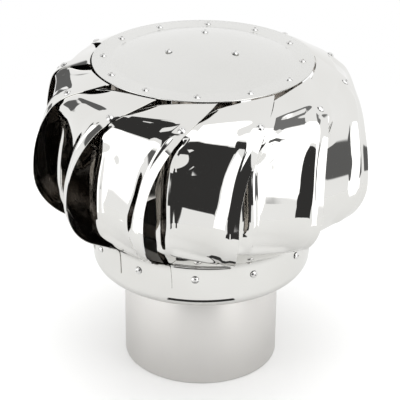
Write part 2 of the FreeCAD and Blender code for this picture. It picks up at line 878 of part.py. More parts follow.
# Blades
def blade_runs():
    """The blade's outer line from its tab to the disc, as lengths and degrees turned inward."""
    shoulder_turn = (brow_degrees - side_degrees).value
    return [
        (tab_length.value, 0.0),
        (crease_radius.value * math.radians(crease_degrees.value), -crease_degrees.value),
        (under_run.value, 0.0),
        (belly_radius.value * math.radians(crease_degrees.value), crease_degrees.value),
        (side_radius.value * math.radians(side_degrees.value), side_degrees.value),
        (shoulder_radius.value * math.radians(shoulder_turn), shoulder_turn),
        (brow_run.value, 0.0),
        (rim_bend.value * math.radians(90 - brow_degrees.value), 90 - brow_degrees.value),
    ]


BLADE_RUNS = blade_runs()
RUN_ENDS = [sum(length for length, _ in BLADE_RUNS[:count + 1]) for count in range(len(BLADE_RUNS))]
TAB_END, CREASE_END, UNDER_END, WIDEST, SIDE_END, SHOULDER_END, BROW_END, BLADE_END = RUN_ENDS
MID_BELLY = (UNDER_END + WIDEST) / 2
BLADE_RIVET = SHOULDER_END - blade_rivet_drop.value
FOLD = BLADE_RIVET + panel_past_rivet.value
SLOPE_STEP = 0.5  # half the length that a slope of the sheet is measured over


def round_about(radius, degrees, height):
    """A point at a radius and height, in degrees past the ring rivet."""
    azimuth = math.radians(degrees - 90)
    return Vector(radius * math.cos(azimuth), radius * math.sin(azimuth), height)


def blade_line(along):
    """Radius, height and inward lean (radians) of the free edge, `along` mm up from its lower end."""
    radius = tab_face.value
    height = tab_bottom.value
    lean = 0.0
    for length, turn in BLADE_RUNS:
        step = min(along, length)
        along -= step
        if turn:
            bend = math.radians(turn) / length
            next_lean = lean + bend * step
            radius += (math.cos(next_lean) - math.cos(lean)) / bend
            height += (math.sin(next_lean) - math.sin(lean)) / bend
            lean = next_lean
        else:
            radius -= math.sin(lean) * step
            height += math.cos(lean) * step
        if along <= 0:
            break
    return radius, height, lean


def eased(along, stations):
    """A value that eases from one station (place, value) to the next."""
    for (start, low), (end, high) in zip(stations, stations[1:]):
        if along <= end:
            share = max(0.0, (along - start) / (end - start))
            return low + (high - low) * share * share * (3 - 2 * share)
    return stations[-1][1]


def free_edge_at(along):
    """Where the free edge stands, in degrees past the ring rivet."""
    edge = free_edge_degrees.value + eased(along, [(0, tab_flare_degrees.value), (MID_BELLY, 0)])
    if along > WIDEST:
        edge += twist_degrees.value * ((along - WIDEST) / (BLADE_END - WIDEST)) ** twist_growth.value
    return edge


def width_at(along):
    return eased(along, [(0, tab_degrees.value), (WIDEST, waist_degrees.value),
                         (BLADE_RIVET, lap_degrees.value), (BLADE_END, top_degrees.value)])


def step_inward(along):
    """How far the tucked edge lies inside the free edge's line."""
    seat = blade_rivet_seat.value
    return eased(along, [(TAB_END, blade_lap.value), (MID_BELLY, slot_depth.value),
                         (WIDEST + slot_rise.value, slot_depth.value), (BLADE_RIVET - seat, blade_lap.value),
                         (BLADE_RIVET + seat, blade_lap.value), (BLADE_END, corner_lift.value)])


def on_line(place, stations):
    """A value that runs straight from one station (place, value) to the next."""
    for (start, low), (end, high) in zip(stations, stations[1:]):
        if place <= end:
            share = max(0.0, (place - start) / (end - start))
            return low + (high - low) * share
    return stations[-1][1]


def inner_places(along):
    """The places of the panel's end, the inner rib's crest and its foot, as they shift up the blade."""
    shift = eased(along, [(WIDEST, 0), (BLADE_RIVET, inner_shift.value)])
    return [place.value - shift for place in (panel_end, inner_crest_start, inner_crest_end, inner_foot)]


def press_line(along):
    """The pressed section at a place up the blade: heights over the free margin's plane, by mm from
    the free edge. The ribs fade out before the blade rivet, and the sunk panel goes on past it."""
    fade = press_fade.value
    seat = BLADE_RIVET - blade_rivet_seat.value
    ribs = eased(along, [(UNDER_END, 0), (UNDER_END + fade, 1), (seat - fade, 1), (seat, 0)])
    sunk = eased(along, [(UNDER_END, 0), (UNDER_END + fade, 1), (FOLD - panel_end_ramp.value, 1), (FOLD, 0)])
    crest = crest_rise.value * ribs
    panel = -panel_sink.value * sunk
    inner_crest = (inner_rise - panel_sink).value * sunk
    tucked = -panel_sink.value * ribs
    panel_stop, rib_start, rib_stop, foot = inner_places(along)
    return [(0.0, 0.0), (free_foot.value, 0.0), (free_crest.value, crest), (crest_end.value, crest),
            (panel_start.value, panel), (panel_stop, panel), (rib_start, inner_crest), (rib_stop, inner_crest),
            (foot, tucked), (press_width.value, tucked)]


def pressed_height(along, across):
    """The pressed section's height, with its corners rounded."""
    line = press_line(along)
    place = (1 - across) * press_width.value
    steps = 4
    total = sum(on_line(place + corner_reach.value * step / steps, line) for step in range(-steps, steps + 1))
    return total / (2 * steps + 1)


def rolled_point(along, across):
    """A point of the sheet rolled to the barrel's form, as it lies at its tab and at its top."""
    radius, height, lean = blade_line(along)
    curl = eased(along, [(BLADE_RIVET, 1), (BROW_END, corner_curl.value)])
    inward = step_inward(along) * (1 - across) ** curl
    degrees = free_edge_at(along) - width_at(along) * (1 - across)
    return round_about(radius - inward * math.cos(lean), degrees, height - inward * math.sin(lean))


def straight_point(along, across):
    """A point on a straight line that runs inward from the free edge to the tucked edge's depth."""
    radius, height, lean = blade_line(along)
    outward = round_about(1, free_edge_at(along), 0)
    sideways = round_about(1, free_edge_at(along) + 90, 0)
    normal = outward * math.cos(lean) + Vector(0, 0, math.sin(lean))
    upward = Vector(0, 0, math.cos(lean)) - outward * math.sin(lean)
    width = math.radians(width_at(along)) * radius
    drop = step_inward(along) + width ** 2 * math.cos(lean) / (2 * radius)
    tuck = math.asin(min(0.9, drop / width))
    turn = free_edge_at(along + SLOPE_STEP) - free_edge_at(along - SLOPE_STEP)
    slope = math.radians(turn) * radius / (2 * SLOPE_STEP)
    tilt = min(math.atan(slope), math.radians(tilt_limit.value))
    tilt *= eased(along, [(MID_BELLY, 0), (WIDEST, 1)])
    line = sideways * math.cos(tuck) + normal * math.sin(tuck)
    line = line * math.cos(tilt) - upward * math.sin(tilt)
    return outward * radius + Vector(0, 0, height) - line * width * (1 - across)


def blend(first, second, share):
    return first * (1 - share) + second * share


def sheet_point(along, across):
    """A point of the sheet before it is pressed: rolled near its ends and straight across between."""
    slot_top = WIDEST + slot_rise.value
    straight = eased(along, [(CREASE_END, 0), (MID_BELLY, 1), (slot_top, 1), (BLADE_RIVET, 0)])
    if straight == 0:
        return rolled_point(along, across)
    return blend(rolled_point(along, across), straight_point(along, across), straight)


def flattened_point(along, across):
    """The same with the panel between the ribs drawn flat up to the fold above the blade rivet."""
    point = sheet_point(along, across)
    low = 1 - inner_places(along)[0] / press_width.value
    high = 1 - panel_start.value / press_width.value
    if not low < across < high:
        return point
    share = (across - low) / (high - low)
    chord = blend(sheet_point(along, low), sheet_point(along, high), share)
    drawn = eased(along, [(CREASE_END, 0), (MID_BELLY, 1), (BLADE_RIVET, 1), (FOLD, 0)])
    return blend(point, chord, drawn)


def blade_point(along, across):
    """A point of the blade's outer face, before the rotor's turn. `across` runs from 0 at the
    tucked edge to 1 at the free edge."""
    point = flattened_point(along, across)
    rise = pressed_height(along, across)
    if rise == 0:
        return point
    reach = SLOPE_STEP / press_width.value
    span = sheet_point(along, min(1.0, across + reach)) - sheet_point(along, max(0.0, across - reach))
    climb = sheet_point(along + SLOPE_STEP, across) - sheet_point(along - SLOPE_STEP, across)
    return point + span.cross(climb).normalize() * rise


def blade_inward(along, across):
    """The direction through the sheet, from its outer face to its inner face."""
    reach = SLOPE_STEP / press_width.value
    low, high = max(0.0, along - SLOPE_STEP), min(BLADE_END, along + SLOPE_STEP)
    left, right = max(0.0, across - reach), min(1.0, across + reach)
    upward = blade_point(high, across) - blade_point(low, across)
    sideways = blade_point(along, right) - blade_point(along, left)
    return upward.cross(sideways).normalize()


def column_places():
    """Places across the sheet, from tucked to free edge: three at each pressed corner and more
    along the long runs between them."""
    width = press_width.value
    reach = corner_reach.value
    gap = 5.0
    places = [0.0]
    for corner, _ in press_line(WIDEST)[1:]:
        near = [corner - reach, corner, corner + reach]
        run = near[0] - places[-1]
        fillers = int(run // gap)
        places += [places[-1] + run * (number + 1) / (fillers + 1) for number in range(fillers)]
        places += [place for place in near if places[-1] + reach / 2 < place < width]
    places.append(width)
    return [1 - place / width for place in reversed(places)]


def row_places():
    """Places up the sheet, closer together at the fold above the blade rivet."""
    fold_start = FOLD - panel_end_ramp.value
    wide, close = 4.5, 1.5
    places = [0.0]
    while places[-1] < BLADE_END - wide:
        near = fold_start - wide < places[-1] < FOLD + close
        places.append(places[-1] + (close if near else wide))
    places.append(BLADE_END)
    return places


def blade_sheet():
    """The pressed sheet between its outer face and its inner face."""
    acrosses = column_places()
    alongs = row_places()
    outer_points = [[blade_point(along, across) for across in acrosses] for along in alongs]
    inner_points = [[blade_point(along, across) + blade_inward(along, across) * blade_gauge.value
                     for across in acrosses] for along in alongs]
    faces = []
    borders = []
    for points in (outer_points, inner_points):
        surface = Part.BSplineSurface()
        surface.interpolate(points)
        faces.append(surface.toShape())
        u_low, u_high, v_low, v_high = surface.bounds()
        borders.append([surface.uIso(u_low), surface.uIso(u_high), surface.vIso(v_low), surface.vIso(v_high)])
    for outer_border, inner_border in zip(*borders):
        wires = [Part.Wire(outer_border.toShape()), Part.Wire(inner_border.toShape())]
        faces.extend(Part.makeLoft(wires, False, True).Faces)
    shell = Part.makeShell(faces)
    shell.sewShape()
    return Part.makeSolid(shell)


def lug_plate():
    """The flat lug that carries the rim rivet under the disc."""
    inner = lug_inner_radius.value
    outer = blade_top_radius.value + blade_gauge.value
    floor = disc_underside.value - blade_gauge.value
    half = lug_degrees.value / 2
    middle = rim_rivet_degrees.value
    turns = (middle - half, middle, middle + half)
    inner_ends = [round_about(inner, turn, floor) for turn in turns]
    outer_ends = [round_about(outer, turn, floor) for turn in turns]
    edges = [
        Part.Arc(*inner_ends).toShape(),
        Part.makeLine(inner_ends[-1], outer_ends[-1]),
        Part.Arc(*outer_ends[::-1]).toShape(),
        Part.makeLine(outer_ends[0], inner_ends[0]),
    ]
    return Part.Face(Part.Wire(edges)).extrude(Vector(0, 0, blade_gauge.value))


def drill(start, direction):
    """A cutter for one rivet hole, long enough to pass the sheets near `start`."""
    length = 8 * (blade_gauge + blade_lap).value
    radius = rivet_radius.value + hole_gap.value
    return Part.makeCylinder(radius, length, start - direction * length / 2, direction)


def blade_rivet_line():
    """Radius, height, lean and degrees of the rivet that joins two blades."""
    radius, height, lean = blade_line(BLADE_RIVET)
    degrees = free_edge_at(BLADE_RIVET) - rivet_inset_degrees.value
    return radius, height, lean, degrees


def blade_cutters():
    """Cutters for a blade's four rivet holes."""
    pitch = 360 / blade_count.value
    radius, height, lean, degrees = blade_rivet_line()
    cutters = []
    for turn in (degrees, degrees - pitch):
        direction = round_about(math.cos(lean), turn, math.sin(lean))
        cutters.append(drill(round_about(radius, turn, height), direction))
    cutters.append(drill(Vector(0, -tab_face.value, ring_rivet_height.value), Vector(0, -1, 0)))
    spot = round_about(rim_rivet_circle.value, rim_rivet_degrees.value, disc_underside.value)
    cutters.append(drill(spot, Vector(0, 0, 1)))
    return cutters


def make_blades():
    """The pressed blade, repeated round the head."""
    blade = blade_sheet().fuse(lug_plate())
    blade = blade.cut(blade_cutters()).Solids[0]
    count = int(round(blade_count.value))
    for number in range(count):
        feature = doc.addObject("Part::Feature", f"blade_{number + 1:02d}")
        feature.Label = f"blade_{number + 1:02d}"
        feature.Shape = blade
        turn = rotor_turn_degrees.value + 360 * number / count
        feature.Placement = Placement(Vector(), Rotation(Vector(0, 0, 1), turn))


def make_blade_rivets():
    """Rivets square to the sheets through one blade's free margin and the next one's tucked margin."""
    body = new_body("blade_rivets")
    radius, height, lean, degrees = blade_rivet_line()
    head_at = Size(str(radius), radius)
    head_height = Size(str(height), height)
    slope = Size(str(90 - math.degrees(lean)), 90 - math.degrees(lean))
    grip = blade_gauge + blade_lap + hollow_under(shoulder_radius, rivet_tail) + seat_gap
    one = rivet(body, "rivet", head_at, head_height, slope, grip,
                rivet_head, rivet_dome, rivet_radius, rivet_tail, tail_height)
    ringed(body, "rivets", one, blade_count)
    body.Placement = Placement(Vector(), Rotation(Vector(0, 0, 1), degrees - 90 + rotor_turn_degrees.value))


make_base_pipe()
make_support()
make_leg_rivets()
make_housing()
make_cover()
make_housing_screws()
make_housing_nuts()
make_grease_cap()
make_bearing("lower_bearing", housing_floor)
make_bearing("upper_bearing", upper_bearing_floor)
make_shaft()
make_spacer()
make_shaft_washer()
make_locknut()
make_hub()
make_hub_pin()
make_hub_rivets()
make_top_disc()
make_rim_rivets()
make_lower_pan()
make_ring_rivets()
make_blades()
make_blade_rivets()
doc.recompute()

# Check every object, then write one file for each piece
for item in doc.Objects:
    if "Invalid" in item.State or "Error" in item.State:
        raise RuntimeError(f"{item.Label} failed: {item.State}")

pieces = [item for item in doc.Objects
          if item.TypeId in ("PartDesign::Body", "Part::Feature")]
for piece in pieces:
    if piece.Shape.isNull() or not piece.Shape.isValid():
        raise RuntimeError(f"{piece.Label} has no valid shape")

for piece in pieces:
    piece.Shape.exportStep(f"parts/{piece.Label}.step")
    print(f"{piece.Label}: {len(piece.Shape.Solids)} solids, {piece.Shape.Volume:.1f} mm3")
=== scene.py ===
# %% [markdown]
# # A rotating chimney cap in polished stainless steel
# The cap is a head of twelve pressed blades between a domed disc and a pan, on a plain pipe. The
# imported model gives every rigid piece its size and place, so this file adds the studio, the
# finishes and the finer skins that a mirror finish needs: a mirror shows each flat facet of a
# coarse mesh, so the polished pieces are made again here with close, smooth surfaces.

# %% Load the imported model
import math

import bpy
from mathutils import Matrix, Vector


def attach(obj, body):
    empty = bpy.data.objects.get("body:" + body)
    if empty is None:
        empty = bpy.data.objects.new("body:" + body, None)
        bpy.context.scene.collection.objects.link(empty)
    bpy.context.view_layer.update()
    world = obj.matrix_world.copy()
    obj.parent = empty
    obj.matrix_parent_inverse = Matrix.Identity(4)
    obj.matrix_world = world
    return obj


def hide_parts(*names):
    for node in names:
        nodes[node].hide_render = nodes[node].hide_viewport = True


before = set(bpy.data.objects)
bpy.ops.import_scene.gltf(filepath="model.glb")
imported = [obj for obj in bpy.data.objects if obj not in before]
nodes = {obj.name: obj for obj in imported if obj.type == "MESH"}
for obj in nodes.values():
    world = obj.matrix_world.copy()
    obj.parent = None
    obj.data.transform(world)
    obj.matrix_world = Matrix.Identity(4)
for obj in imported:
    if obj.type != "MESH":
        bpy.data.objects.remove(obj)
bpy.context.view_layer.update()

MM = 0.001
print("pieces in the packed model:", len(nodes))

# %% [markdown]
# ## Camera
# A long lens stands a metre and a half from the cap and looks down on it, so its upright sides
# stay nearly parallel. The lens and the tilt come from matching the disc's ellipse and the pipe's
# width in the photograph, with the lens as a focal length in the picture's pixels. The photograph
# leans half a degree to the right, so the camera is rolled by as much and stands a little to the
# left, which keeps the pipe's foot in its place.

# %% Camera
VIEW_DISTANCE = 1.5
VIEW_TILT = math.radians(26.6)
AIM_HEIGHT = 0.1603
SENSOR_WIDTH = 36.0
FOCAL_PIXELS = 1558
PICTURE_PIXELS = 400
LENS_LENGTH = FOCAL_PIXELS / PICTURE_PIXELS * SENSOR_WIDTH
VIEW_ROLL = math.radians(0.5)
VIEW_SIDE = -0.0017
FARTHEST_SEEN = 20

lens_back = -VIEW_DISTANCE * math.cos(VIEW_TILT)
lens_height = AIM_HEIGHT + VIEW_DISTANCE * math.sin(VIEW_TILT)
tilted = Matrix.Rotation(math.pi / 2 - VIEW_TILT, 3, "X")
rolled = Matrix.Rotation(VIEW_ROLL, 3, "Z")
bpy.ops.object.select_all(action="DESELECT")
bpy.ops.object.camera_add(location=(VIEW_SIDE, lens_back, lens_height),
                          rotation=(tilted @ rolled).to_euler())
camera = bpy.context.object
camera.name = "camera"
camera.data.sensor_width = SENSOR_WIDTH
camera.data.lens = LENS_LENGTH
camera.data.clip_end = FARTHEST_SEEN
bpy.context.scene.camera = camera
bpy.context.scene.view_settings.view_transform = "Standard"
print("lens", round(LENS_LENGTH, 1), "mm")

# %% [markdown]
# ## Helpers for node trees
# Every finish is a small tree of nodes. These helpers add a node with its settings and join two
# sockets, which keeps each material below to a few readable lines.

# %% Helpers for node trees
def add_node(tree, kind, settings=None, inputs=None):
    """Add a node, set its own properties and its unlinked inputs."""
    node = tree.nodes.new(kind)
    for name, value in (settings or {}).items():
        setattr(node, name, value)
    for name, value in (inputs or {}).items():
        node.inputs[name].default_value = value
    return node


def new_material(name):
    """An empty material, with its tree and its output node."""
    material = bpy.data.materials.new(name)
    material.use_nodes = True
    material.node_tree.nodes.clear()
    output = add_node(material.node_tree, "ShaderNodeOutputMaterial")
    return material, material.node_tree, output


print("helpers ready")

# %% [markdown]
# ## White background
# The cap stands in a white studio. The world is plain white where the camera or a reflection
# looks at it. As a light it is a little stronger, which keeps the table white round the cap.

# %% White background
SEEN_BRIGHTNESS = 1.0
FILL_BRIGHTNESS = 1.1
WHITE = (1, 1, 1, 1)

world = bpy.data.worlds.new("studio_air")
bpy.context.scene.world = world
world.use_nodes = True
tree = world.node_tree
tree.nodes.clear()
path = add_node(tree, "ShaderNodeLightPath")
seen_or_mirrored = add_node(tree, "ShaderNodeMath", {"operation": "MAXIMUM"})
tree.links.new(path.outputs["Is Camera Ray"], seen_or_mirrored.inputs[0])
tree.links.new(path.outputs["Is Glossy Ray"], seen_or_mirrored.inputs[1])
seen_at_all = add_node(tree, "ShaderNodeMath", {"operation": "MAXIMUM"})
tree.links.new(seen_or_mirrored.outputs[0], seen_at_all.inputs[0])
tree.links.new(path.outputs["Is Transmission Ray"], seen_at_all.inputs[1])
background_white = add_node(tree, "ShaderNodeBackground", None,
                            {"Color": WHITE, "Strength": SEEN_BRIGHTNESS})
soft_fill = add_node(tree, "ShaderNodeBackground", None, {"Color": WHITE, "Strength": FILL_BRIGHTNESS})
either = add_node(tree, "ShaderNodeMixShader")
tree.links.new(seen_at_all.outputs[0], either.inputs["Fac"])
tree.links.new(soft_fill.outputs[0], either.inputs[1])
tree.links.new(background_white.outputs[0], either.inputs[2])
world_output = add_node(tree, "ShaderNodeOutputWorld")
tree.links.new(either.outputs[0], world_output.inputs["Surface"])
print("world made")

# %% [markdown]
# ## Table top
# The floor is a pale round table top that fades into the white air at its rim. The blades show
# its near edge as a line, because a mirror sees past the edge into the room. So for reflections
# alone, the table ends close to the cap, and its paint is darker, a painted shade on the mirrored table.

# %% Table top
TABLE_RADIUS = 0.75
TABLE_SIDES = 96
TABLE_DROP = 0.0004
FADE_START = 0.35
MIRRORED_RADIUS = 0.55
MIRRORED_FADE = 0.004
SEEN_PAINT = (0.93, 0.93, 0.925, 1)
# Reflections see the table in a darker copy of its paint: painted shade.
MIRRORED_SHADED_PAINT = (0.72, 0.72, 0.715, 1)

bpy.ops.mesh.primitive_circle_add(vertices=TABLE_SIDES, radius=TABLE_RADIUS, fill_type="NGON",
                                  location=(0, 0, -TABLE_DROP))
table_top = bpy.context.object
table_top.name = "table_top"
table_paint, tree, output = new_material("table_paint")
coordinates = add_node(tree, "ShaderNodeTexCoord")
from_centre = add_node(tree, "ShaderNodeVectorMath", {"operation": "LENGTH"})
tree.links.new(coordinates.outputs["Object"], from_centre.inputs[0])
rim_fade = add_node(tree, "ShaderNodeMapRange", {"interpolation_type": "SMOOTHSTEP"},
                    {"From Min": FADE_START, "From Max": TABLE_RADIUS, "To Min": 1.0, "To Max": 0.0})
tree.links.new(from_centre.outputs["Value"], rim_fade.inputs["Value"])
mirrored_edge = add_node(tree, "ShaderNodeMapRange", None,
                         {"From Min": MIRRORED_RADIUS, "From Max": MIRRORED_RADIUS + MIRRORED_FADE,
                          "To Min": 1.0, "To Max": 0.0})
tree.links.new(from_centre.outputs["Value"], mirrored_edge.inputs["Value"])
path = add_node(tree, "ShaderNodeLightPath")
solid_share = add_node(tree, "ShaderNodeMix", {"data_type": "FLOAT"})
tree.links.new(path.outputs["Is Glossy Ray"], solid_share.inputs["Factor"])
tree.links.new(rim_fade.outputs[0], solid_share.inputs["A"])
tree.links.new(mirrored_edge.outputs[0], solid_share.inputs["B"])
paint = add_node(tree, "ShaderNodeBsdfDiffuse")
paint_colour = add_node(tree, "ShaderNodeMix", {"data_type": "RGBA"})
paint_colour.inputs["A"].default_value = SEEN_PAINT
paint_colour.inputs["B"].default_value = MIRRORED_SHADED_PAINT
tree.links.new(path.outputs["Is Glossy Ray"], paint_colour.inputs["Factor"])
tree.links.new(paint_colour.outputs["Result"], paint.inputs["Color"])
clear = add_node(tree, "ShaderNodeBsdfTransparent")
surface = add_node(tree, "ShaderNodeMixShader")
tree.links.new(solid_share.outputs["Result"], surface.inputs["Fac"])
tree.links.new(clear.outputs[0], surface.inputs[1])
tree.links.new(paint.outputs[0], surface.inputs[2])
tree.links.new(surface.outputs[0], output.inputs["Surface"])
table_top.data.materials.append(table_paint)
print("table radius", TABLE_RADIUS, "m, mirrored out to", MIRRORED_RADIUS, "m")

# %% [markdown]
# ## Cards round the cap
# Polished steel has no colour of its own: it shows what stands round it. A studio puts white and
# black cards there, out of the picture. A standing card is a four-cornered patch of a sphere round
# the cap, with its corners given by bearing and height in degrees. Bearings count anticlockwise
# from +X, so the camera stands at 270. A level card lies just over the table. One narrow black rail
# under the pan is painted shade, mirrored as the shade beneath the pan. All are seen in reflections
# only. Their borders fade, as the edge of a card does when a slightly uneven sheet mirrors it.

# %% Cards round the cap
CARD_CENTRE = Vector((0, 0, 0.2))
CARD_COLUMNS = 24
CARD_ROWS = 16


def card_finish(name, brightness, fade, tint=(1, 1, 1)):
    """A glow that fades over a share of the card's width along its border."""
    material, tree, output = new_material(name)
    glow = add_node(tree, "ShaderNodeEmission", None, {"Color": (*tint, 1), "Strength": brightness})
    clear = add_node(tree, "ShaderNodeBsdfTransparent")
    place = add_node(tree, "ShaderNodeTexCoord")
    sides = add_node(tree, "ShaderNodeSeparateXYZ")
    tree.links.new(place.outputs["UV"], sides.inputs[0])
    shares = []
    for side in ("X", "Y"):
        for low, high in ((0.0, fade), (1.0, 1.0 - fade)):
            share = add_node(tree, "ShaderNodeMapRange", {"interpolation_type": "SMOOTHSTEP"},
                             {"From Min": low, "From Max": high})
            tree.links.new(sides.outputs[side], share.inputs["Value"])
            shares.append(share.outputs[0])
    solid = shares[0]
    for share in shares[1:]:
        product = add_node(tree, "ShaderNodeMath", {"operation": "MULTIPLY"})
        tree.links.new(solid, product.inputs[0])
        tree.links.new(share, product.inputs[1])
        solid = product.outputs[0]
    card = add_node(tree, "ShaderNodeMixShader")
    tree.links.new(solid, card.inputs["Fac"])
    tree.links.new(clear.outputs[0], card.inputs[1])
    tree.links.new(glow.outputs[0], card.inputs[2])
    tree.links.new(card.outputs[0], output.inputs["Surface"])
    return material


def put_card(name, material, corners, place):
    """A sheet between four corners from the lower left round. place() turns each into a point."""
    bpy.ops.object.select_all(action="DESELECT")
    bpy.ops.mesh.primitive_grid_add(x_subdivisions=CARD_COLUMNS, y_subdivisions=CARD_ROWS, size=2)
    card = bpy.context.object
    card.name = name
    lower_left, lower_right, upper_right, upper_left = (Vector(corner) for corner in corners)
    for vertex in card.data.vertices:
        across = (vertex.co.x + 1) / 2
        low = lower_left.lerp(lower_right, across)
        high = upper_left.lerp(upper_right, across)
        vertex.co = place(low.lerp(high, (vertex.co.y + 1) / 2))
    card.data.materials.append(material)
    card.visible_camera = False
    card.visible_diffuse = False
    card.visible_transmission = False
    card.visible_shadow = False


def stand_card(name, material, distance, *corners):
    """A patch of a sphere, at a distance in metres. A corner is a bearing and a height in degrees."""
    def on_sphere(corner):
        turn, rise = (math.radians(angle) for angle in corner)
        return CARD_CENTRE + distance * Vector((
            math.cos(rise) * math.cos(turn), math.cos(rise) * math.sin(turn), math.sin(rise)))
    put_card(name, material, corners, on_sphere)


def lay_card(name, material, level, near, far, first, last):
    """A level card between two radii in metres and two bearings in degrees."""
    def on_level(corner):
        turn, radius = math.radians(corner[0]), corner[1]
        return Vector((radius * math.cos(turn), radius * math.sin(turn), level))
    put_card(name, material, [(first, far), (last, far), (last, near), (first, near)], on_level)


black_card = card_finish("black_card", 0.038, 0.03, (1.0, 0.98, 0.97))
grey_card = card_finish("grey_card", 0.13, 0.08)
pale_grey_card = card_finish("pale_grey_card", 0.20, 0.08)
white_card = card_finish("white_card", 1.7, 0.03)

# Distances from the cap in metres. Where two cards cross in a reflection, the nearer one covers.
SOFTBOXES = 1.30
WALLS = 1.28
DARK_FRONT = 1.27
CEILING = 1.25
RIGHT_WALL = 1.24
MAT_LEVEL = 0.05
SHADE_RAIL_LEVEL = 0.09

stand_card("dark_front_low", black_card, DARK_FRONT, (242, -45), (285, -45), (297, -10), (241, -10))
stand_card("dark_front_middle", black_card, DARK_FRONT, (235, -13), (298, -13), (298, 6), (241, 6))
stand_card("dark_front_top", black_card, DARK_FRONT, (240, 4), (299, 4), (294, 24), (256, 28))
stand_card("dark_front_strip", black_card, DARK_FRONT, (249, 22), (262, 22), (260, 54), (250, 54))
stand_card("left_softbox", white_card, SOFTBOXES, (190, -45), (212, -45), (234, 6), (178, 3))
stand_card("left_softbox_top", white_card, SOFTBOXES, (187, 0), (232, 0), (246, 28), (190, 32))
stand_card("right_softbox_low", white_card, SOFTBOXES, (310, -45), (345, -42), (345, -6), (297, -6))
stand_card("right_softbox", white_card, SOFTBOXES, (296, -9), (345, -9), (346, 32), (297, 32))
stand_card("top_softbox", white_card, CEILING, (264, 29), (350, 30), (352, 84), (245, 84))
stand_card("dark_left_wall", black_card, WALLS, (152, 57), (235, 27), (239, 70), (132, 74))
stand_card("grey_left_wall", grey_card, WALLS, (165, 4), (188, 9), (188, 38), (160, 42))
stand_card("grey_back_left", grey_card, WALLS, (112, -12), (134, -12), (134, 20), (114, 20))
stand_card("dark_right_wall", pale_grey_card, RIGHT_WALL, (349, 33), (380, 32), (380, 58), (353, 58))
stand_card("dark_doorway", grey_card, WALLS, (328, -15), (361, -15), (361, 1), (328, 1))
lay_card("dark_mat", black_card, MAT_LEVEL, 0.34, 0.70, 250, 274)
lay_card("right_white_mat", white_card, MAT_LEVEL, 0.31, 0.75, 307, 333)
lay_card("left_white_mat", white_card, MAT_LEVEL, 0.33, 0.75, 193, 222)
# A black rail under the pan is painted shade: the pan's round corner mirrors it as the shade beneath.
lay_card("painted_shade_rail", black_card, SHADE_RAIL_LEVEL, 0.112, 0.130, 249, 291)
print("standing cards are", RIGHT_WALL, "to", SOFTBOXES, "m from the cap")

# %% [markdown]
# ## Lamps
# Three broad lamps light the table, and the cap's shadow on it is soft because they are large. Bare
# metal shows only reflections. The lamps are kept out of those, where the cards do that work.

# %% Lamps
def hang_lamp(name, place, size, power):
    """A round lamp that points at the cap, with its size in metres and its power in watts."""
    bpy.ops.object.light_add(type="AREA", location=place)
    lamp = bpy.context.object
    lamp.name = name
    lamp.data.shape = "DISK"
    lamp.data.size = size
    lamp.data.energy = power
    lamp.rotation_euler = (CARD_CENTRE - Vector(place)).to_track_quat("-Z", "Y").to_euler()
    lamp.visible_camera = False
    lamp.visible_glossy = False
    return lamp


hang_lamp("top_lamp", (0.0, 0.1, 2.2), 1.6, 11)
hang_lamp("left_lamp", (-1.6, -0.9, 1.1), 1.0, 5)
hang_lamp("right_lamp", (1.6, -0.9, 1.1), 1.0, 5)

# %% [markdown]
# ## Shared surface effects
# Three effects return on most of the metal: fine scratches from wiping and handling, soft blotches
# left by rolling and cleaning, and the slow waves of thin sheet. Each is a node group that gives a
# value, so every finish can use it at its own size and strength.

# %% Shared surface effects
def new_effect(name, inputs):
    """A node group with named number inputs and one output called Value."""
    group = bpy.data.node_groups.new(name, "ShaderNodeTree")
    for label, value in inputs.items():
        socket = group.interface.new_socket(name=label, in_out="INPUT", socket_type="NodeSocketFloat")
        socket.default_value = value
    group.interface.new_socket(name="Value", in_out="OUTPUT", socket_type="NodeSocketFloat")
    return group, add_node(group, "NodeGroupInput"), add_node(group, "NodeGroupOutput")


def noise_on_object(tree, scale_socket, stretch=(1, 1, 1), turn=(0, 0, 0), detail=3.0):
    """Noise read at the object's own place, stretched and turned (in radians)."""
    coordinates = add_node(tree, "ShaderNodeTexCoord")
    mapping = add_node(tree, "ShaderNodeMapping", None, {"Scale": stretch, "Rotation": turn})
    tree.links.new(coordinates.outputs["Object"], mapping.inputs["Vector"])
    noise = add_node(tree, "ShaderNodeTexNoise", None, {"Detail": detail, "Roughness": 0.55})
    tree.links.new(mapping.outputs[0], noise.inputs["Vector"])
    tree.links.new(scale_socket, noise.inputs["Scale"])
    return noise.outputs["Fac"]


def between(tree, value, low, high):
    """Spread a value so that low becomes 0 and high becomes 1."""
    spread = add_node(tree, "ShaderNodeMapRange", {"clamp": True}, {"From Min": low, "From Max": high})
    tree.links.new(value, spread.inputs["Value"])
    return spread.outputs[0]


scratches, inside, outside = new_effect("fine_scratches", {"Scale": 90.0})
first_set = noise_on_object(scratches, inside.outputs["Scale"],
                            stretch=(1, 14, 1), turn=(0.3, 0.2, 0.5), detail=5.0)
second_set = noise_on_object(scratches, inside.outputs["Scale"],
                             stretch=(12, 1, 1.5), turn=(0.9, -0.4, 0.2), detail=5.0)
either_set = add_node(scratches, "ShaderNodeMath", {"operation": "MAXIMUM"})
scratches.links.new(between(scratches, first_set, 0.60, 0.74), either_set.inputs[0])
scratches.links.new(between(scratches, second_set, 0.62, 0.76), either_set.inputs[1])
scratches.links.new(either_set.outputs[0], outside.inputs["Value"])

blotches, inside, outside = new_effect("soft_blotches", {"Scale": 14.0})
patches = noise_on_object(blotches, inside.outputs["Scale"], turn=(0, 0, 0.7), detail=2.0)
blotches.links.new(between(blotches, patches, 0.35, 0.68), outside.inputs["Value"])

waves, inside, outside = new_effect("sheet_waves", {"Scale": 9.0})
swell = noise_on_object(waves, inside.outputs["Scale"], stretch=(1, 1, 0.6), turn=(0, 0, 0.2), detail=1.0)
waves.links.new(swell, outside.inputs["Value"])
print("effects:", [group.name for group in bpy.data.node_groups])
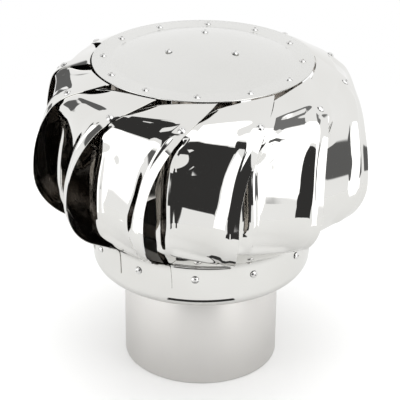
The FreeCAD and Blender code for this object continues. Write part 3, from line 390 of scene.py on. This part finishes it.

# %% [markdown]
# ## Metal finishes
# The head is mirror-polished, the pipe is satin and the small pieces lie between. The blades' inner
# faces are dull, and their dark brownish colour is painted shade. One function makes them all: two
# metal colours mixed by the blotches, a roughness that rises in the scratches, and a faint bump from
# the waves.

# %% Metal finishes
def effect_value(tree, group, scale):
    """The value of one shared effect at a scale of its own."""
    node = add_node(tree, "ShaderNodeGroup", {"node_tree": group})
    node.inputs["Scale"].default_value = scale
    return node.outputs["Value"]


def spread_over(tree, share, low, high):
    """A value from low to high as the share goes from 0 to 1."""
    node = add_node(tree, "ShaderNodeMapRange", None, {"To Min": low, "To Max": high})
    tree.links.new(share, node.inputs["Value"])
    return node.outputs[0]


def metal(name, light, dark, smooth, rough, blotch_size, wave_size, wave_height, scratch_size=90.0):
    """A bare metal. light and dark are its two colours, smooth and rough its two roughnesses. The
    three sizes are scales of noise, so a larger one is finer. The wave height is in millimetres."""
    material, tree, output = new_material(name)
    skin = add_node(tree, "ShaderNodeBsdfPrincipled", None, {"Metallic": 1.0})
    colour = add_node(tree, "ShaderNodeMix", {"data_type": "RGBA"})
    colour.inputs["A"].default_value = (*light, 1)
    colour.inputs["B"].default_value = (*dark, 1)
    tree.links.new(effect_value(tree, blotches, blotch_size), colour.inputs["Factor"])
    tree.links.new(colour.outputs["Result"], skin.inputs["Base Color"])
    scratched = effect_value(tree, scratches, scratch_size)
    tree.links.new(spread_over(tree, scratched, smooth, rough), skin.inputs["Roughness"])
    bump = add_node(tree, "ShaderNodeBump", None, {"Strength": 1.0, "Distance": wave_height * MM})
    tree.links.new(effect_value(tree, waves, wave_size), bump.inputs["Height"])
    tree.links.new(bump.outputs[0], skin.inputs["Normal"])
    tree.links.new(skin.outputs[0], output.inputs["Surface"])
    return material


# Each line gives light, dark, smooth, rough, blotch_size, wave_size and wave_height
mirror_steel = metal("mirror_steel", (0.80, 0.796, 0.775), (0.76, 0.753, 0.73), 0.03, 0.075, 11.0, 9.0, 0.30)
# The inner faces' dark brownish colours are painted shade of the inside of the head.
painted_shade_inner_steel = metal("painted_shade_inner_steel", (0.40, 0.37, 0.34), (0.22, 0.20, 0.175), 0.16, 0.34, 14.0, 7.0, 0.5)
disc_steel = metal("disc_steel", (0.765, 0.763, 0.745), (0.735, 0.732, 0.712), 0.22, 0.28, 9.0, 7.0, 0.10)
satin_steel = metal("satin_steel", (0.79, 0.775, 0.755), (0.74, 0.725, 0.705), 0.30, 0.36, 10.0, 4.0, 0.1)
rivet_metal = metal("rivet_metal", (0.80, 0.80, 0.79), (0.72, 0.71, 0.70), 0.22, 0.34, 60.0, 60.0, 0.05)
bracket_metal = metal("bracket_metal", (0.60, 0.58, 0.56), (0.48, 0.46, 0.44), 0.3, 0.45, 30.0, 20.0, 0.1)
housing_cast = metal("housing_cast", (0.62, 0.62, 0.62), (0.52, 0.52, 0.53), 0.35, 0.5, 40.0, 90.0, 0.1)
bearing_metal = metal("bearing_metal", (0.72, 0.72, 0.73), (0.66, 0.66, 0.67), 0.1, 0.2, 60.0, 60.0, 0.02)
turned_metal = metal("turned_metal", (0.68, 0.68, 0.67), (0.58, 0.58, 0.57), 0.2, 0.35, 50.0, 50.0, 0.05)

NODE_FINISH = {
    bracket_metal: ["support_spider", "bearing_cover", "top_hub", "grease_cap"],
    housing_cast: ["bearing_housing"],
    bearing_metal: ["lower_bearing_outer_ring", "upper_bearing_outer_ring", "lower_bearing_inner_ring",
                    "upper_bearing_inner_ring", "lower_bearing_balls", "upper_bearing_balls"],
    turned_metal: ["shaft", "bearing_spacer", "shaft_washer", "shaft_locknut", "hub_pin", "housing_screws",
                   "housing_nuts"],
    rivet_metal: ["support_rivets"],
}
for finish, names in NODE_FINISH.items():
    for name in names:
        nodes[name].data.materials.clear()
        nodes[name].data.materials.append(finish)
print("finishes:", len(bpy.data.materials))

# %% [markdown]
# ## Sections turned round the axis
# The disc, the pan and the pipe are round, so each is a section turned round the upright axis. A
# circle primitive gives a closed loop of points. The points move to the section, and Spin
# carries the loop round. Merging the doubles closes the seam before the normals are set.

# %% Sections turned round the axis
ROUND_STEPS = 288
SMOOTH_DEGREES = 35
MERGE_DISTANCE = 0.000002


def arc(centre, radius, first, last, steps):
    """Points of an arc in the section plane, as (radius, height) in millimetres."""
    turns = [math.radians(first + (last - first) * step / steps) for step in range(steps + 1)]
    return [(centre[0] + radius * math.cos(turn), centre[1] + radius * math.sin(turn)) for turn in turns]


def spun(name, section, steps=ROUND_STEPS, smooth_degrees=SMOOTH_DEGREES):
    """Turn a closed section, in millimetres, into a solid ring or plate."""
    bpy.ops.object.select_all(action="DESELECT")
    bpy.ops.mesh.primitive_circle_add(vertices=len(section), radius=1, fill_type="NOTHING")
    piece = bpy.context.object
    piece.name = name
    for vertex, (radius, height) in zip(piece.data.vertices, section):
        vertex.co = Vector((radius, 0, height)) * MM
    bpy.ops.object.mode_set(mode="EDIT")
    bpy.ops.mesh.select_all(action="SELECT")
    bpy.ops.mesh.spin(steps=steps, angle=2 * math.pi, center=(0, 0, 0), axis=(0, 0, 1))
    bpy.ops.mesh.select_all(action="SELECT")
    bpy.ops.mesh.remove_doubles(threshold=MERGE_DISTANCE)
    bpy.ops.mesh.delete_loose()
    bpy.ops.mesh.select_all(action="SELECT")
    bpy.ops.mesh.normals_make_consistent(inside=False)
    bpy.ops.object.mode_set(mode="OBJECT")
    bpy.ops.object.shade_smooth_by_angle(angle=math.radians(smooth_degrees))
    return piece


print("sections can be spun")

# %% [markdown]
# ## Top disc
# The real disc is pressed from one sheet: a flat rim band for the rivets, a small round step and
# a shallow dome. Its section is two dome arcs, two fillets and the flat band, so its polish stays
# free of facets.

# %% Top disc
DISC_RADIUS = 102.6
DISC_GAUGE = 1.2
DISC_TOP = 306.32
DISC_EDGE_ROUND = 0.3
DOME_EDGE = 84.0
DOME_RISE = 15.0
DOME_FILLET = 8.0
DOME_STEPS = 44
FILLET_STEPS = 10
EDGE_STEPS = 3
DOME_BALL = (DOME_EDGE ** 2 + DOME_RISE ** 2) / (2 * DOME_RISE)
DOME_CENTRE = DISC_TOP + DOME_RISE - DOME_BALL


def disc_section():
    """The disc's closed section, from the middle of its underside round to the middle of its top."""
    def sheet_line(ball, height, radius):
        """Half of one face: the dome, the fillet at its edge and the start of the flat band."""
        fillet_height = height + radius
        fillet_out = math.sqrt((ball + radius) ** 2 - (fillet_height - DOME_CENTRE) ** 2)
        steep = math.degrees(math.asin(fillet_out / (ball + radius)))
        crown = arc((0, DOME_CENTRE), ball, 90, 90 - steep, DOME_STEPS)
        turn = arc((fillet_out, fillet_height), radius, 270 - steep, 270, FILLET_STEPS)
        return crown + turn[1:]

    upper = sheet_line(DOME_BALL, DISC_TOP, DOME_FILLET)
    lower = sheet_line(DOME_BALL - DISC_GAUGE, DISC_TOP - DISC_GAUGE, DOME_FILLET + DISC_GAUGE)
    edge_middle = DISC_RADIUS - DISC_EDGE_ROUND
    upper_edge = (edge_middle, DISC_TOP - DISC_EDGE_ROUND)
    lower_edge = (edge_middle, DISC_TOP - DISC_GAUGE + DISC_EDGE_ROUND)
    rim = arc(upper_edge, DISC_EDGE_ROUND, 90, 0, EDGE_STEPS)
    rim += arc(lower_edge, DISC_EDGE_ROUND, 0, -90, EDGE_STEPS)
    return upper + rim + lower[::-1]


top_disc = spun("top_disc_skin", disc_section())
top_disc.data.materials.append(disc_steel)
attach(top_disc, "rotor")
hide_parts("top_disc")
print("disc skin faces", len(top_disc.data.polygons))

# %% [markdown]
# ## Lower pan
# The pan is the ring that carries the blades' tabs. Its lower corner is a full round, and that round
# mirrors the painted-shade rail as a thin black line in front. It is one spun section with two arcs.

# %% Lower pan
PAN_RADIUS = 105.0
PAN_GAUGE = 0.8
PAN_FLOOR = 99.0
PAN_RIM = 145.0
PAN_CORNER = 12.0
PAN_HOLE = 79.0
PAN_HOLE_BEVEL = 0.3
PAN_CORNER_STEPS = 24

corner_centre = (PAN_RADIUS - PAN_CORNER, PAN_FLOOR + PAN_CORNER)
pan_outside = arc(corner_centre, PAN_CORNER, -90, 0, PAN_CORNER_STEPS)
pan_inside = arc(corner_centre, PAN_CORNER - PAN_GAUGE, 0, -90, PAN_CORNER_STEPS)
bevel_end = PAN_HOLE + PAN_HOLE_BEVEL
pan_section = [(PAN_HOLE, PAN_FLOOR + PAN_GAUGE / 2), (bevel_end, PAN_FLOOR), *pan_outside,
               (PAN_RADIUS, PAN_RIM), (PAN_RADIUS - PAN_GAUGE, PAN_RIM), *pan_inside,
               (bevel_end, PAN_FLOOR + PAN_GAUGE)]
lower_pan = spun("lower_pan_skin", pan_section)
lower_pan.data.materials.append(mirror_steel)
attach(lower_pan, "rotor")
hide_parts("lower_pan")
print("pan skin faces", len(lower_pan.data.polygons))

# %% [markdown]
# ## Base pipe
# A plain rolled tube with a slightly smaller neck. Its lower edge is cut square and slightly
# rounded by deburring, so the edge catches a fine line of light.

# %% Base pipe
PIPE_RADIUS = 75.0
PIPE_GAUGE = 0.8
PIPE_HEIGHT = 96.0
NECK_RADIUS = 73.0
NECK_START = 102.0
PIPE_TOP = 134.0
EDGE_ROUND = 0.25

pipe_section = [(PIPE_RADIUS - EDGE_ROUND, 0), (PIPE_RADIUS, EDGE_ROUND), (PIPE_RADIUS, PIPE_HEIGHT),
                (NECK_RADIUS, NECK_START), (NECK_RADIUS, PIPE_TOP), (NECK_RADIUS - PIPE_GAUGE, PIPE_TOP),
                (NECK_RADIUS - PIPE_GAUGE, NECK_START), (PIPE_RADIUS - PIPE_GAUGE, PIPE_HEIGHT),
                (PIPE_RADIUS - PIPE_GAUGE, EDGE_ROUND), (PIPE_RADIUS - PIPE_GAUGE + EDGE_ROUND, 0)]
base_pipe = spun("base_pipe_skin", pipe_section)
base_pipe.data.materials.append(satin_steel)
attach(base_pipe, "base")
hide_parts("base_pipe")
print("pipe skin faces", len(base_pipe.data.polygons))

# %% [markdown]
# ## Blades
# Each blade is one sheet pressed to a crooked barrel curve: a tab below, a belly, a tall side and
# a shoulder that runs under the disc. Two ribs stiffen it, and one edge is tucked under the next
# blade. A grid is laid out and each of its points is put where the press would put it, from the
# same sizes as the solid. Solidify then gives the sheet its thickness.

# %% Sizes of a blade
BLADE_COUNT = 12
ROTOR_TURN = -3.0
RING_RIVET_DROP = 13.0
RING_RIVET_HEIGHT = PAN_RIM - RING_RIVET_DROP
TAB_REACH = 11.0
TAB_BOTTOM = RING_RIVET_HEIGHT - TAB_REACH
TAB_FACE = 106.7
BLADE_GAUGE = 0.6
BLADE_LAP = 1.0
HEAD_RADIUS = 161.0
TAB_LENGTH = 19.0
CREASE_RADIUS = 8.0
CREASE_DEGREES = 62.0
BELLY_RADIUS = 52.0
SIDE_RADIUS = 170.0
SIDE_DEGREES = 24.0
SHOULDER_RADIUS = 42.0
BROW_DEGREES = 64.0
RIM_BEND = 5.0
BLADE_REACH = 1.4
BLADE_TOP_RADIUS = DISC_RADIUS + BLADE_REACH
SLOT_DEPTH = 19.0
SLOT_RISE = 30.0
CORNER_LIFT = 9.0
CORNER_CURL = 3.0
FREE_EDGE_DEGREES = 14.5
TAB_FLARE_DEGREES = 3.9
TWIST_DEGREES = 25.5
TWIST_GROWTH = 2.2
TAB_DEGREES = 33.4
WAIST_DEGREES = 27.0
LAP_DEGREES = 36.0
TOP_DEGREES = 38.0
RIVET_DROP = 6.0
RIVET_SEAT = 4.5
RIVET_INSET_DEGREES = 3.0

# %% [markdown]
# The pressing runs along the blade: a flat free margin, a low rib, a long ramp down to a flat
# panel, a second rib and the tucked margin. Its places are in millimetres from the free edge. The
# ramp shifts towards the free edge by OUTER_SHIFT midway up, and the inner rib by INNER_SHIFT at
# the blade rivet. The solid has the rib's shift but not the ramp's.

# %% Sizes of the pressing
PRESS_WIDTH = 80.0
FREE_FOOT = 7.0
FREE_CREST = 9.5
CREST_END = 13.5
PANEL_START = 25.5
PANEL_END = 61.0
INNER_CREST_START = 65.0
INNER_CREST_END = 70.0
INNER_FOOT = 75.0
INNER_SHIFT = 8.0
OUTER_SHIFT = 6.5
CREST_RISE = 0.9
PANEL_SINK = 2.6
INNER_RISE = 2.4
PRESS_FADE = 9.0
PANEL_PAST_RIVET = 9.0
PANEL_END_RAMP = 6.0
CORNER_REACH = 1.1
CORNER_SAMPLES = 4
TILT_LIMIT = 16.0
TUCK_LIMIT = 0.9
SLOPE_STEP = 0.5


def cosine(degrees):
    return math.cos(math.radians(degrees))


def sine(degrees):
    return math.sin(math.radians(degrees))


def blade_runs():
    """The free edge's line from tab to disc, as lengths and degrees turned inward."""
    under = ((HEAD_RADIUS - TAB_FACE - (CREASE_RADIUS + BELLY_RADIUS) * (1 - cosine(CREASE_DEGREES)))
             / sine(CREASE_DEGREES))
    shoulder_start = HEAD_RADIUS - SIDE_RADIUS * (1 - cosine(SIDE_DEGREES))
    brow_radius = shoulder_start - SHOULDER_RADIUS * (cosine(SIDE_DEGREES) - cosine(BROW_DEGREES))
    brow_run = (brow_radius - RIM_BEND * cosine(BROW_DEGREES) - BLADE_TOP_RADIUS) / sine(BROW_DEGREES)
    shoulder_turn = BROW_DEGREES - SIDE_DEGREES
    last_turn = 90 - BROW_DEGREES
    return [
        (TAB_LENGTH, 0.0),
        (CREASE_RADIUS * math.radians(CREASE_DEGREES), -CREASE_DEGREES),
        (under, 0.0),
        (BELLY_RADIUS * math.radians(CREASE_DEGREES), CREASE_DEGREES),
        (SIDE_RADIUS * math.radians(SIDE_DEGREES), SIDE_DEGREES),
        (SHOULDER_RADIUS * math.radians(shoulder_turn), shoulder_turn),
        (brow_run, 0.0),
        (RIM_BEND * math.radians(last_turn), last_turn),
    ]


RUNS = blade_runs()
TAB_END, CREASE_END, UNDER_END, WIDEST, SIDE_END, SHOULDER_END, BROW_END, BLADE_END = [
    sum(length for length, _ in RUNS[:count + 1]) for count in range(len(RUNS))]
MID_BELLY = (UNDER_END + WIDEST) / 2
BLADE_RIVET = SHOULDER_END - RIVET_DROP
FOLD = BLADE_RIVET + PANEL_PAST_RIVET
print("a blade is", round(BLADE_END), "mm long from tab to disc")

# %% Lines of a blade
def eased(along, stations):
    """A value that eases from one station (place, value) to the next."""
    for (start, low), (end, high) in zip(stations, stations[1:]):
        if along <= end:
            share = max(0.0, (along - start) / (end - start))
            return low + (high - low) * share * share * (3 - 2 * share)
    return stations[-1][1]


def on_line(place, stations):
    """A value that runs straight from one station (place, value) to the next."""
    for (start, low), (end, high) in zip(stations, stations[1:]):
        if place <= end:
            return low + (high - low) * max(0.0, (place - start) / (end - start))
    return stations[-1][1]


def round_about(radius, degrees, height):
    """A point at a radius and height, in degrees past the ring rivet."""
    azimuth = math.radians(degrees - 90 + ROTOR_TURN)
    return Vector((radius * math.cos(azimuth), radius * math.sin(azimuth), height))


def blade_line(along):
    """Radius, height and inward lean of the free edge, along mm up from its lower end."""
    radius, height, lean = TAB_FACE, TAB_BOTTOM, 0.0
    for length, turn in RUNS:
        step = min(along, length)
        along -= step
        if turn:
            bend = math.radians(turn) / length
            next_lean = lean + bend * step
            radius += (math.cos(next_lean) - math.cos(lean)) / bend
            height += (math.sin(next_lean) - math.sin(lean)) / bend
            lean = next_lean
        else:
            radius -= math.sin(lean) * step
            height += math.cos(lean) * step
        if along <= 0:
            break
    return radius, height, lean


def free_edge_at(along):
    """Where the free edge stands, in degrees past the ring rivet."""
    edge = FREE_EDGE_DEGREES + eased(along, [(0, TAB_FLARE_DEGREES), (MID_BELLY, 0)])
    if along > WIDEST:
        edge += TWIST_DEGREES * ((along - WIDEST) / (BLADE_END - WIDEST)) ** TWIST_GROWTH
    return edge


def width_at(along):
    """The blade's width, in degrees."""
    return eased(along, [(0, TAB_DEGREES), (WIDEST, WAIST_DEGREES), (BLADE_RIVET, LAP_DEGREES),
                         (BLADE_END, TOP_DEGREES)])


def step_inward(along):
    """How far the tucked edge lies inside the free edge's line."""
    return eased(along, [(TAB_END, BLADE_LAP), (MID_BELLY, SLOT_DEPTH), (WIDEST + SLOT_RISE, SLOT_DEPTH),
                         (BLADE_RIVET - RIVET_SEAT, BLADE_LAP), (BLADE_RIVET + RIVET_SEAT, BLADE_LAP),
                         (BLADE_END, CORNER_LIFT)])


print("widest radius", round(max(blade_line(BLADE_END * step / 100)[0] for step in range(101)), 1), "mm")

# %% The pressed form of a blade
def inner_places(along):
    """The places of the panel's end, the inner rib's crest and its foot, as they shift up the blade."""
    shift = eased(along, [(WIDEST, 0), (BLADE_RIVET, INNER_SHIFT)])
    return [place - shift for place in (PANEL_END, INNER_CREST_START, INNER_CREST_END, INNER_FOOT)]


def outer_places(along):
    """The places of the free rib's crest end and the panel's start, nearer the free edge midway up."""
    shift = eased(along, [(WIDEST, 0), (WIDEST + SLOT_RISE, OUTER_SHIFT), (SIDE_END, OUTER_SHIFT),
                          (BLADE_RIVET - RIVET_SEAT, 0)])
    return CREST_END - shift / 2, PANEL_START - shift


def pressed_height(along, across):
    """Height over the free margin's plane, with each corner of the line averaged into a round. The
    ribs fade out before the blade rivet, and the sunk panel goes on past it."""
    seat = BLADE_RIVET - RIVET_SEAT
    start = (UNDER_END, 0), (UNDER_END + PRESS_FADE, 1)
    ribs = eased(along, [*start, (seat - PRESS_FADE, 1), (seat, 0)])
    sunk = eased(along, [*start, (FOLD - PANEL_END_RAMP, 1), (FOLD, 0)])
    crest = CREST_RISE * ribs
    panel = -PANEL_SINK * sunk
    inner_crest = (INNER_RISE - PANEL_SINK) * sunk
    tucked = -PANEL_SINK * ribs
    crest_end, panel_start = outer_places(along)
    panel_stop, rib_start, rib_stop, foot = inner_places(along)
    line = [(0.0, 0.0), (FREE_FOOT, 0.0), (FREE_CREST, crest), (crest_end, crest), (panel_start, panel),
            (panel_stop, panel), (rib_start, inner_crest), (rib_stop, inner_crest), (foot, tucked),
            (PRESS_WIDTH, tucked)]
    place = (1 - across) * PRESS_WIDTH
    samples = range(-CORNER_SAMPLES, CORNER_SAMPLES + 1)
    total = sum(on_line(place + CORNER_REACH * sample / CORNER_SAMPLES, line) for sample in samples)
    return total / len(samples)


def rolled_point(along, across):
    """A point of the sheet rolled to the barrel's form, as it lies at its tab and at its top."""
    radius, height, lean = blade_line(along)
    curl = eased(along, [(BLADE_RIVET, 1), (BROW_END, CORNER_CURL)])
    inward = step_inward(along) * (1 - across) ** curl
    degrees = free_edge_at(along) - width_at(along) * (1 - across)
    return round_about(radius - inward * math.cos(lean), degrees, height - inward * math.sin(lean))


def straight_point(along, across):
    """A point on a straight line that runs inward from the free edge to the tucked edge's depth."""
    radius, height, lean = blade_line(along)
    outward = round_about(1, free_edge_at(along), 0)
    sideways = round_about(1, free_edge_at(along) + 90, 0)
    normal = outward * math.cos(lean) + Vector((0, 0, math.sin(lean)))
    upward = Vector((0, 0, math.cos(lean))) - outward * math.sin(lean)
    width = math.radians(width_at(along)) * radius
    drop = step_inward(along) + width ** 2 * math.cos(lean) / (2 * radius)
    tuck = math.asin(min(TUCK_LIMIT, drop / width))
    turn = free_edge_at(along + SLOPE_STEP) - free_edge_at(along - SLOPE_STEP)
    tilt = min(math.atan(math.radians(turn) * radius / (2 * SLOPE_STEP)), math.radians(TILT_LIMIT))
    tilt *= eased(along, [(MID_BELLY, 0), (WIDEST, 1)])
    line = sideways * math.cos(tuck) + normal * math.sin(tuck)
    line = line * math.cos(tilt) - upward * math.sin(tilt)
    return outward * radius + Vector((0, 0, height)) - line * width * (1 - across)


def sheet_point(along, across):
    """A point before pressing: rolled near the sheet's ends and straight across between."""
    slot_top = WIDEST + SLOT_RISE
    straight = eased(along, [(CREASE_END, 0), (MID_BELLY, 1), (slot_top, 1), (BLADE_RIVET, 0)])
    if straight == 0:
        return rolled_point(along, across)
    return rolled_point(along, across).lerp(straight_point(along, across), straight)


def flattened_point(along, across):
    """The same with the panel between the ribs drawn flat up to the fold above the blade rivet."""
    point = sheet_point(along, across)
    low = 1 - inner_places(along)[0] / PRESS_WIDTH
    high = 1 - outer_places(along)[1] / PRESS_WIDTH
    if not low < across < high:
        return point
    share = (across - low) / (high - low)
    chord = sheet_point(along, low).lerp(sheet_point(along, high), share)
    drawn = eased(along, [(CREASE_END, 0), (MID_BELLY, 1), (BLADE_RIVET, 1), (FOLD, 0)])
    return point.lerp(chord, drawn)


def blade_point(along, across):
    """A point of the blade's outer face in millimetres, across from 0 (tucked) to 1 (free)."""
    point = flattened_point(along, across)
    rise = pressed_height(along, across)
    if rise == 0:
        return point
    reach = SLOPE_STEP / PRESS_WIDTH
    span = sheet_point(along, min(1.0, across + reach)) - sheet_point(along, max(0.0, across - reach))
    climb = sheet_point(along + SLOPE_STEP, across) - sheet_point(along - SLOPE_STEP, across)
    return point + span.cross(climb).normalized() * rise


print("middle of a blade:", [round(value, 1) for value in blade_point(WIDEST, 0.5)], "mm")

# %% [markdown]
# The grid's columns stand closer at the pressed corners, so those stay crisp in the mirror while
# the flat panel needs few. Twelve copies of the one blade then stand round the axis.

# %% One blade, then twelve
ACROSS_STEPS = 85
ALONG_STEPS = 180
CLOSE_TO_CORNER = 1.0
BLADE_SMOOTH_DEGREES = 50
CORNERS = [FREE_FOOT, FREE_CREST, CREST_END, PANEL_START, PANEL_END, INNER_CREST_START, INNER_CREST_END,
           INNER_FOOT]
stops = [PRESS_WIDTH]
for corner in CORNERS[::-1]:
    stops += [corner + CLOSE_TO_CORNER, corner - CLOSE_TO_CORNER]
stops.append(0.0)
COLUMN_PLACES = [(number / (len(stops) - 1), stop) for number, stop in enumerate(stops)]


def press_blade():
    """A grid whose points are moved to the pressed form, then given its thickness. Its outer face
    is polished and its inner face dull and dark, and that dark colour is painted shade."""
    bpy.ops.object.select_all(action="DESELECT")
    bpy.ops.mesh.primitive_grid_add(x_subdivisions=ACROSS_STEPS, y_subdivisions=ALONG_STEPS, size=2)
    blade = bpy.context.object
    blade.data.materials.append(mirror_steel)
    # The second finish darkens the inner face with painted shade.
    blade.data.materials.append(painted_shade_inner_steel)
    for vertex in blade.data.vertices:
        across = 1 - on_line((vertex.co.x + 1) / 2, COLUMN_PLACES) / PRESS_WIDTH
        along = BLADE_END * (vertex.co.y + 1) / 2
        vertex.co = blade_point(along, across) * MM
    sheet = blade.modifiers.new("sheet", "SOLIDIFY")
    sheet.thickness = BLADE_GAUGE * MM
    sheet.offset = -1
    sheet.material_offset = 1
    bpy.ops.object.modifier_apply(modifier=sheet.name)
    bpy.ops.object.shade_smooth_by_angle(angle=math.radians(BLADE_SMOOTH_DEGREES))
    return blade


first_blade = press_blade()
for number in range(BLADE_COUNT):
    blade = first_blade.copy()
    blade.data = first_blade.data.copy()
    bpy.context.scene.collection.objects.link(blade)
    blade.name = f"blade_skin_{number + 1:02d}"
    blade.data.transform(Matrix.Rotation(math.radians(360 * number / BLADE_COUNT), 4, "Z"))
    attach(blade, "rotor")
    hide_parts(f"blade_{number + 1:02d}")
print("faces in a blade:", len(first_blade.data.polygons))
bpy.data.objects.remove(first_blade)

# %% [markdown]
# ## Rivets
# They are blind rivets: a low dome with the hole that the pulled pin leaves, and a plain tail. One
# rivet is spun as a section, then copied to each hole with its head pointing out of the sheet.

# %% Rivets
RIVET_RADIUS = 2.0
RIVET_HEAD = 3.6
RIVET_DOME = 1.9
RIVET_TAIL = 3.0
TAIL_HEIGHT = 1.4
TAIL_BEVEL = 0.4
HEAD_BEVEL = 0.1
DIMPLE_RADIUS = 1.05
DIMPLE_LIP = 0.15
DIMPLE_BEVEL = 0.1
DIMPLE_FLOOR = RIVET_DOME - 1.0
DIMPLE_CORNER = RIVET_DOME - 0.95
DIMPLE_TOP = RIVET_DOME - 0.25
CROWN_STEPS = 8
RIVET_SIDES = 32
RIVET_SMOOTH_DEGREES = 40
HUB_RIVET_COUNT = 3
HUB_RIVET_CIRCLE = 35.0
RIM_RIVET_CIRCLE = 92.0
HUB_GRIP = 5.2
RING_GRIP = 2.5
BLADE_GRIP = 1.7


def rivet_section(grip):
    """Head above zero, tail below minus the grip. The head has a dimple in its middle."""
    dome_arc = (RIVET_HEAD ** 2 + RIVET_DOME ** 2) / (2 * RIVET_DOME)
    dome_centre = RIVET_DOME - dome_arc
    edge = math.degrees(math.asin(RIVET_HEAD / dome_arc))
    lip = math.degrees(math.asin((DIMPLE_RADIUS + DIMPLE_LIP) / dome_arc))
    crown = arc((0, dome_centre), dome_arc, 90 - lip, 90 - edge, CROWN_STEPS)
    tail_end = -grip - TAIL_HEIGHT
    return [(0, DIMPLE_FLOOR), (DIMPLE_RADIUS - DIMPLE_BEVEL, DIMPLE_CORNER), (DIMPLE_RADIUS, DIMPLE_TOP),
            *crown, (RIVET_HEAD - HEAD_BEVEL, 0), (RIVET_RADIUS, 0), (RIVET_RADIUS, -grip),
            (RIVET_TAIL, -grip), (RIVET_TAIL, tail_end + TAIL_BEVEL), (RIVET_TAIL - TAIL_BEVEL, tail_end),
            (0, tail_end)]


def set_rivets(name, node, grip, places):
    """Copies of one rivet at (point, direction) pairs, in millimetres, joined as one piece."""
    first = spun(name, rivet_section(grip), RIVET_SIDES, RIVET_SMOOTH_DEGREES)
    copies = []
    for point, direction in places:
        copy = first.copy()
        copy.data = first.data.copy()
        bpy.context.scene.collection.objects.link(copy)
        turn = Vector(direction).to_track_quat("Z", "Y").to_matrix().to_4x4()
        copy.data.transform(Matrix.Translation(Vector(point) * MM) @ turn)
        copies.append(copy)
    bpy.data.objects.remove(first)
    bpy.ops.object.select_all(action="DESELECT")
    for copy in copies:
        copy.select_set(True)
    bpy.context.view_layer.objects.active = copies[0]
    bpy.ops.object.join()
    group = bpy.context.object
    group.name = name
    group.data.materials.clear()
    group.data.materials.append(rivet_metal)
    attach(group, "rotor")
    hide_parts(node)
    return group


def ring_of(count, radius, height, first_turn, lean):
    """Points and directions round the axis. lean is the head's rise above level, in degrees."""
    places = []
    for number in range(count):
        turn = math.radians(first_turn + 360 * number / count)
        outward = Vector((math.cos(turn), math.sin(turn), 0))
        places.append((outward * radius + Vector((0, 0, height)),
                       outward * cosine(lean) + Vector((0, 0, sine(lean)))))
    return places


FIRST_TURN = -90 + ROTOR_TURN
set_rivets("rim_rivet_heads", "rim_rivets", DISC_GAUGE + BLADE_GAUGE,
           ring_of(BLADE_COUNT, RIM_RIVET_CIRCLE, DISC_TOP, FIRST_TURN, 90))
hub_seat = DOME_CENTRE + math.sqrt(DOME_BALL ** 2 - (HUB_RIVET_CIRCLE - RIVET_HEAD) ** 2)
set_rivets("hub_rivet_heads", "hub_rivets", HUB_GRIP,
           ring_of(HUB_RIVET_COUNT, HUB_RIVET_CIRCLE, hub_seat, 90 + ROTOR_TURN, 90))
set_rivets("ring_rivet_heads", "ring_rivets", RING_GRIP,
           ring_of(BLADE_COUNT, TAB_FACE, RING_RIVET_HEIGHT, FIRST_TURN, 0))
rivet_radius, rivet_height, rivet_lean = blade_line(BLADE_RIVET)
blade_rivet_turn = FIRST_TURN + free_edge_at(BLADE_RIVET) - RIVET_INSET_DEGREES
set_rivets("blade_rivet_heads", "blade_rivets", BLADE_GRIP,
           ring_of(BLADE_COUNT, rivet_radius, rivet_height, blade_rivet_turn, math.degrees(rivet_lean)))
print("rivets set")
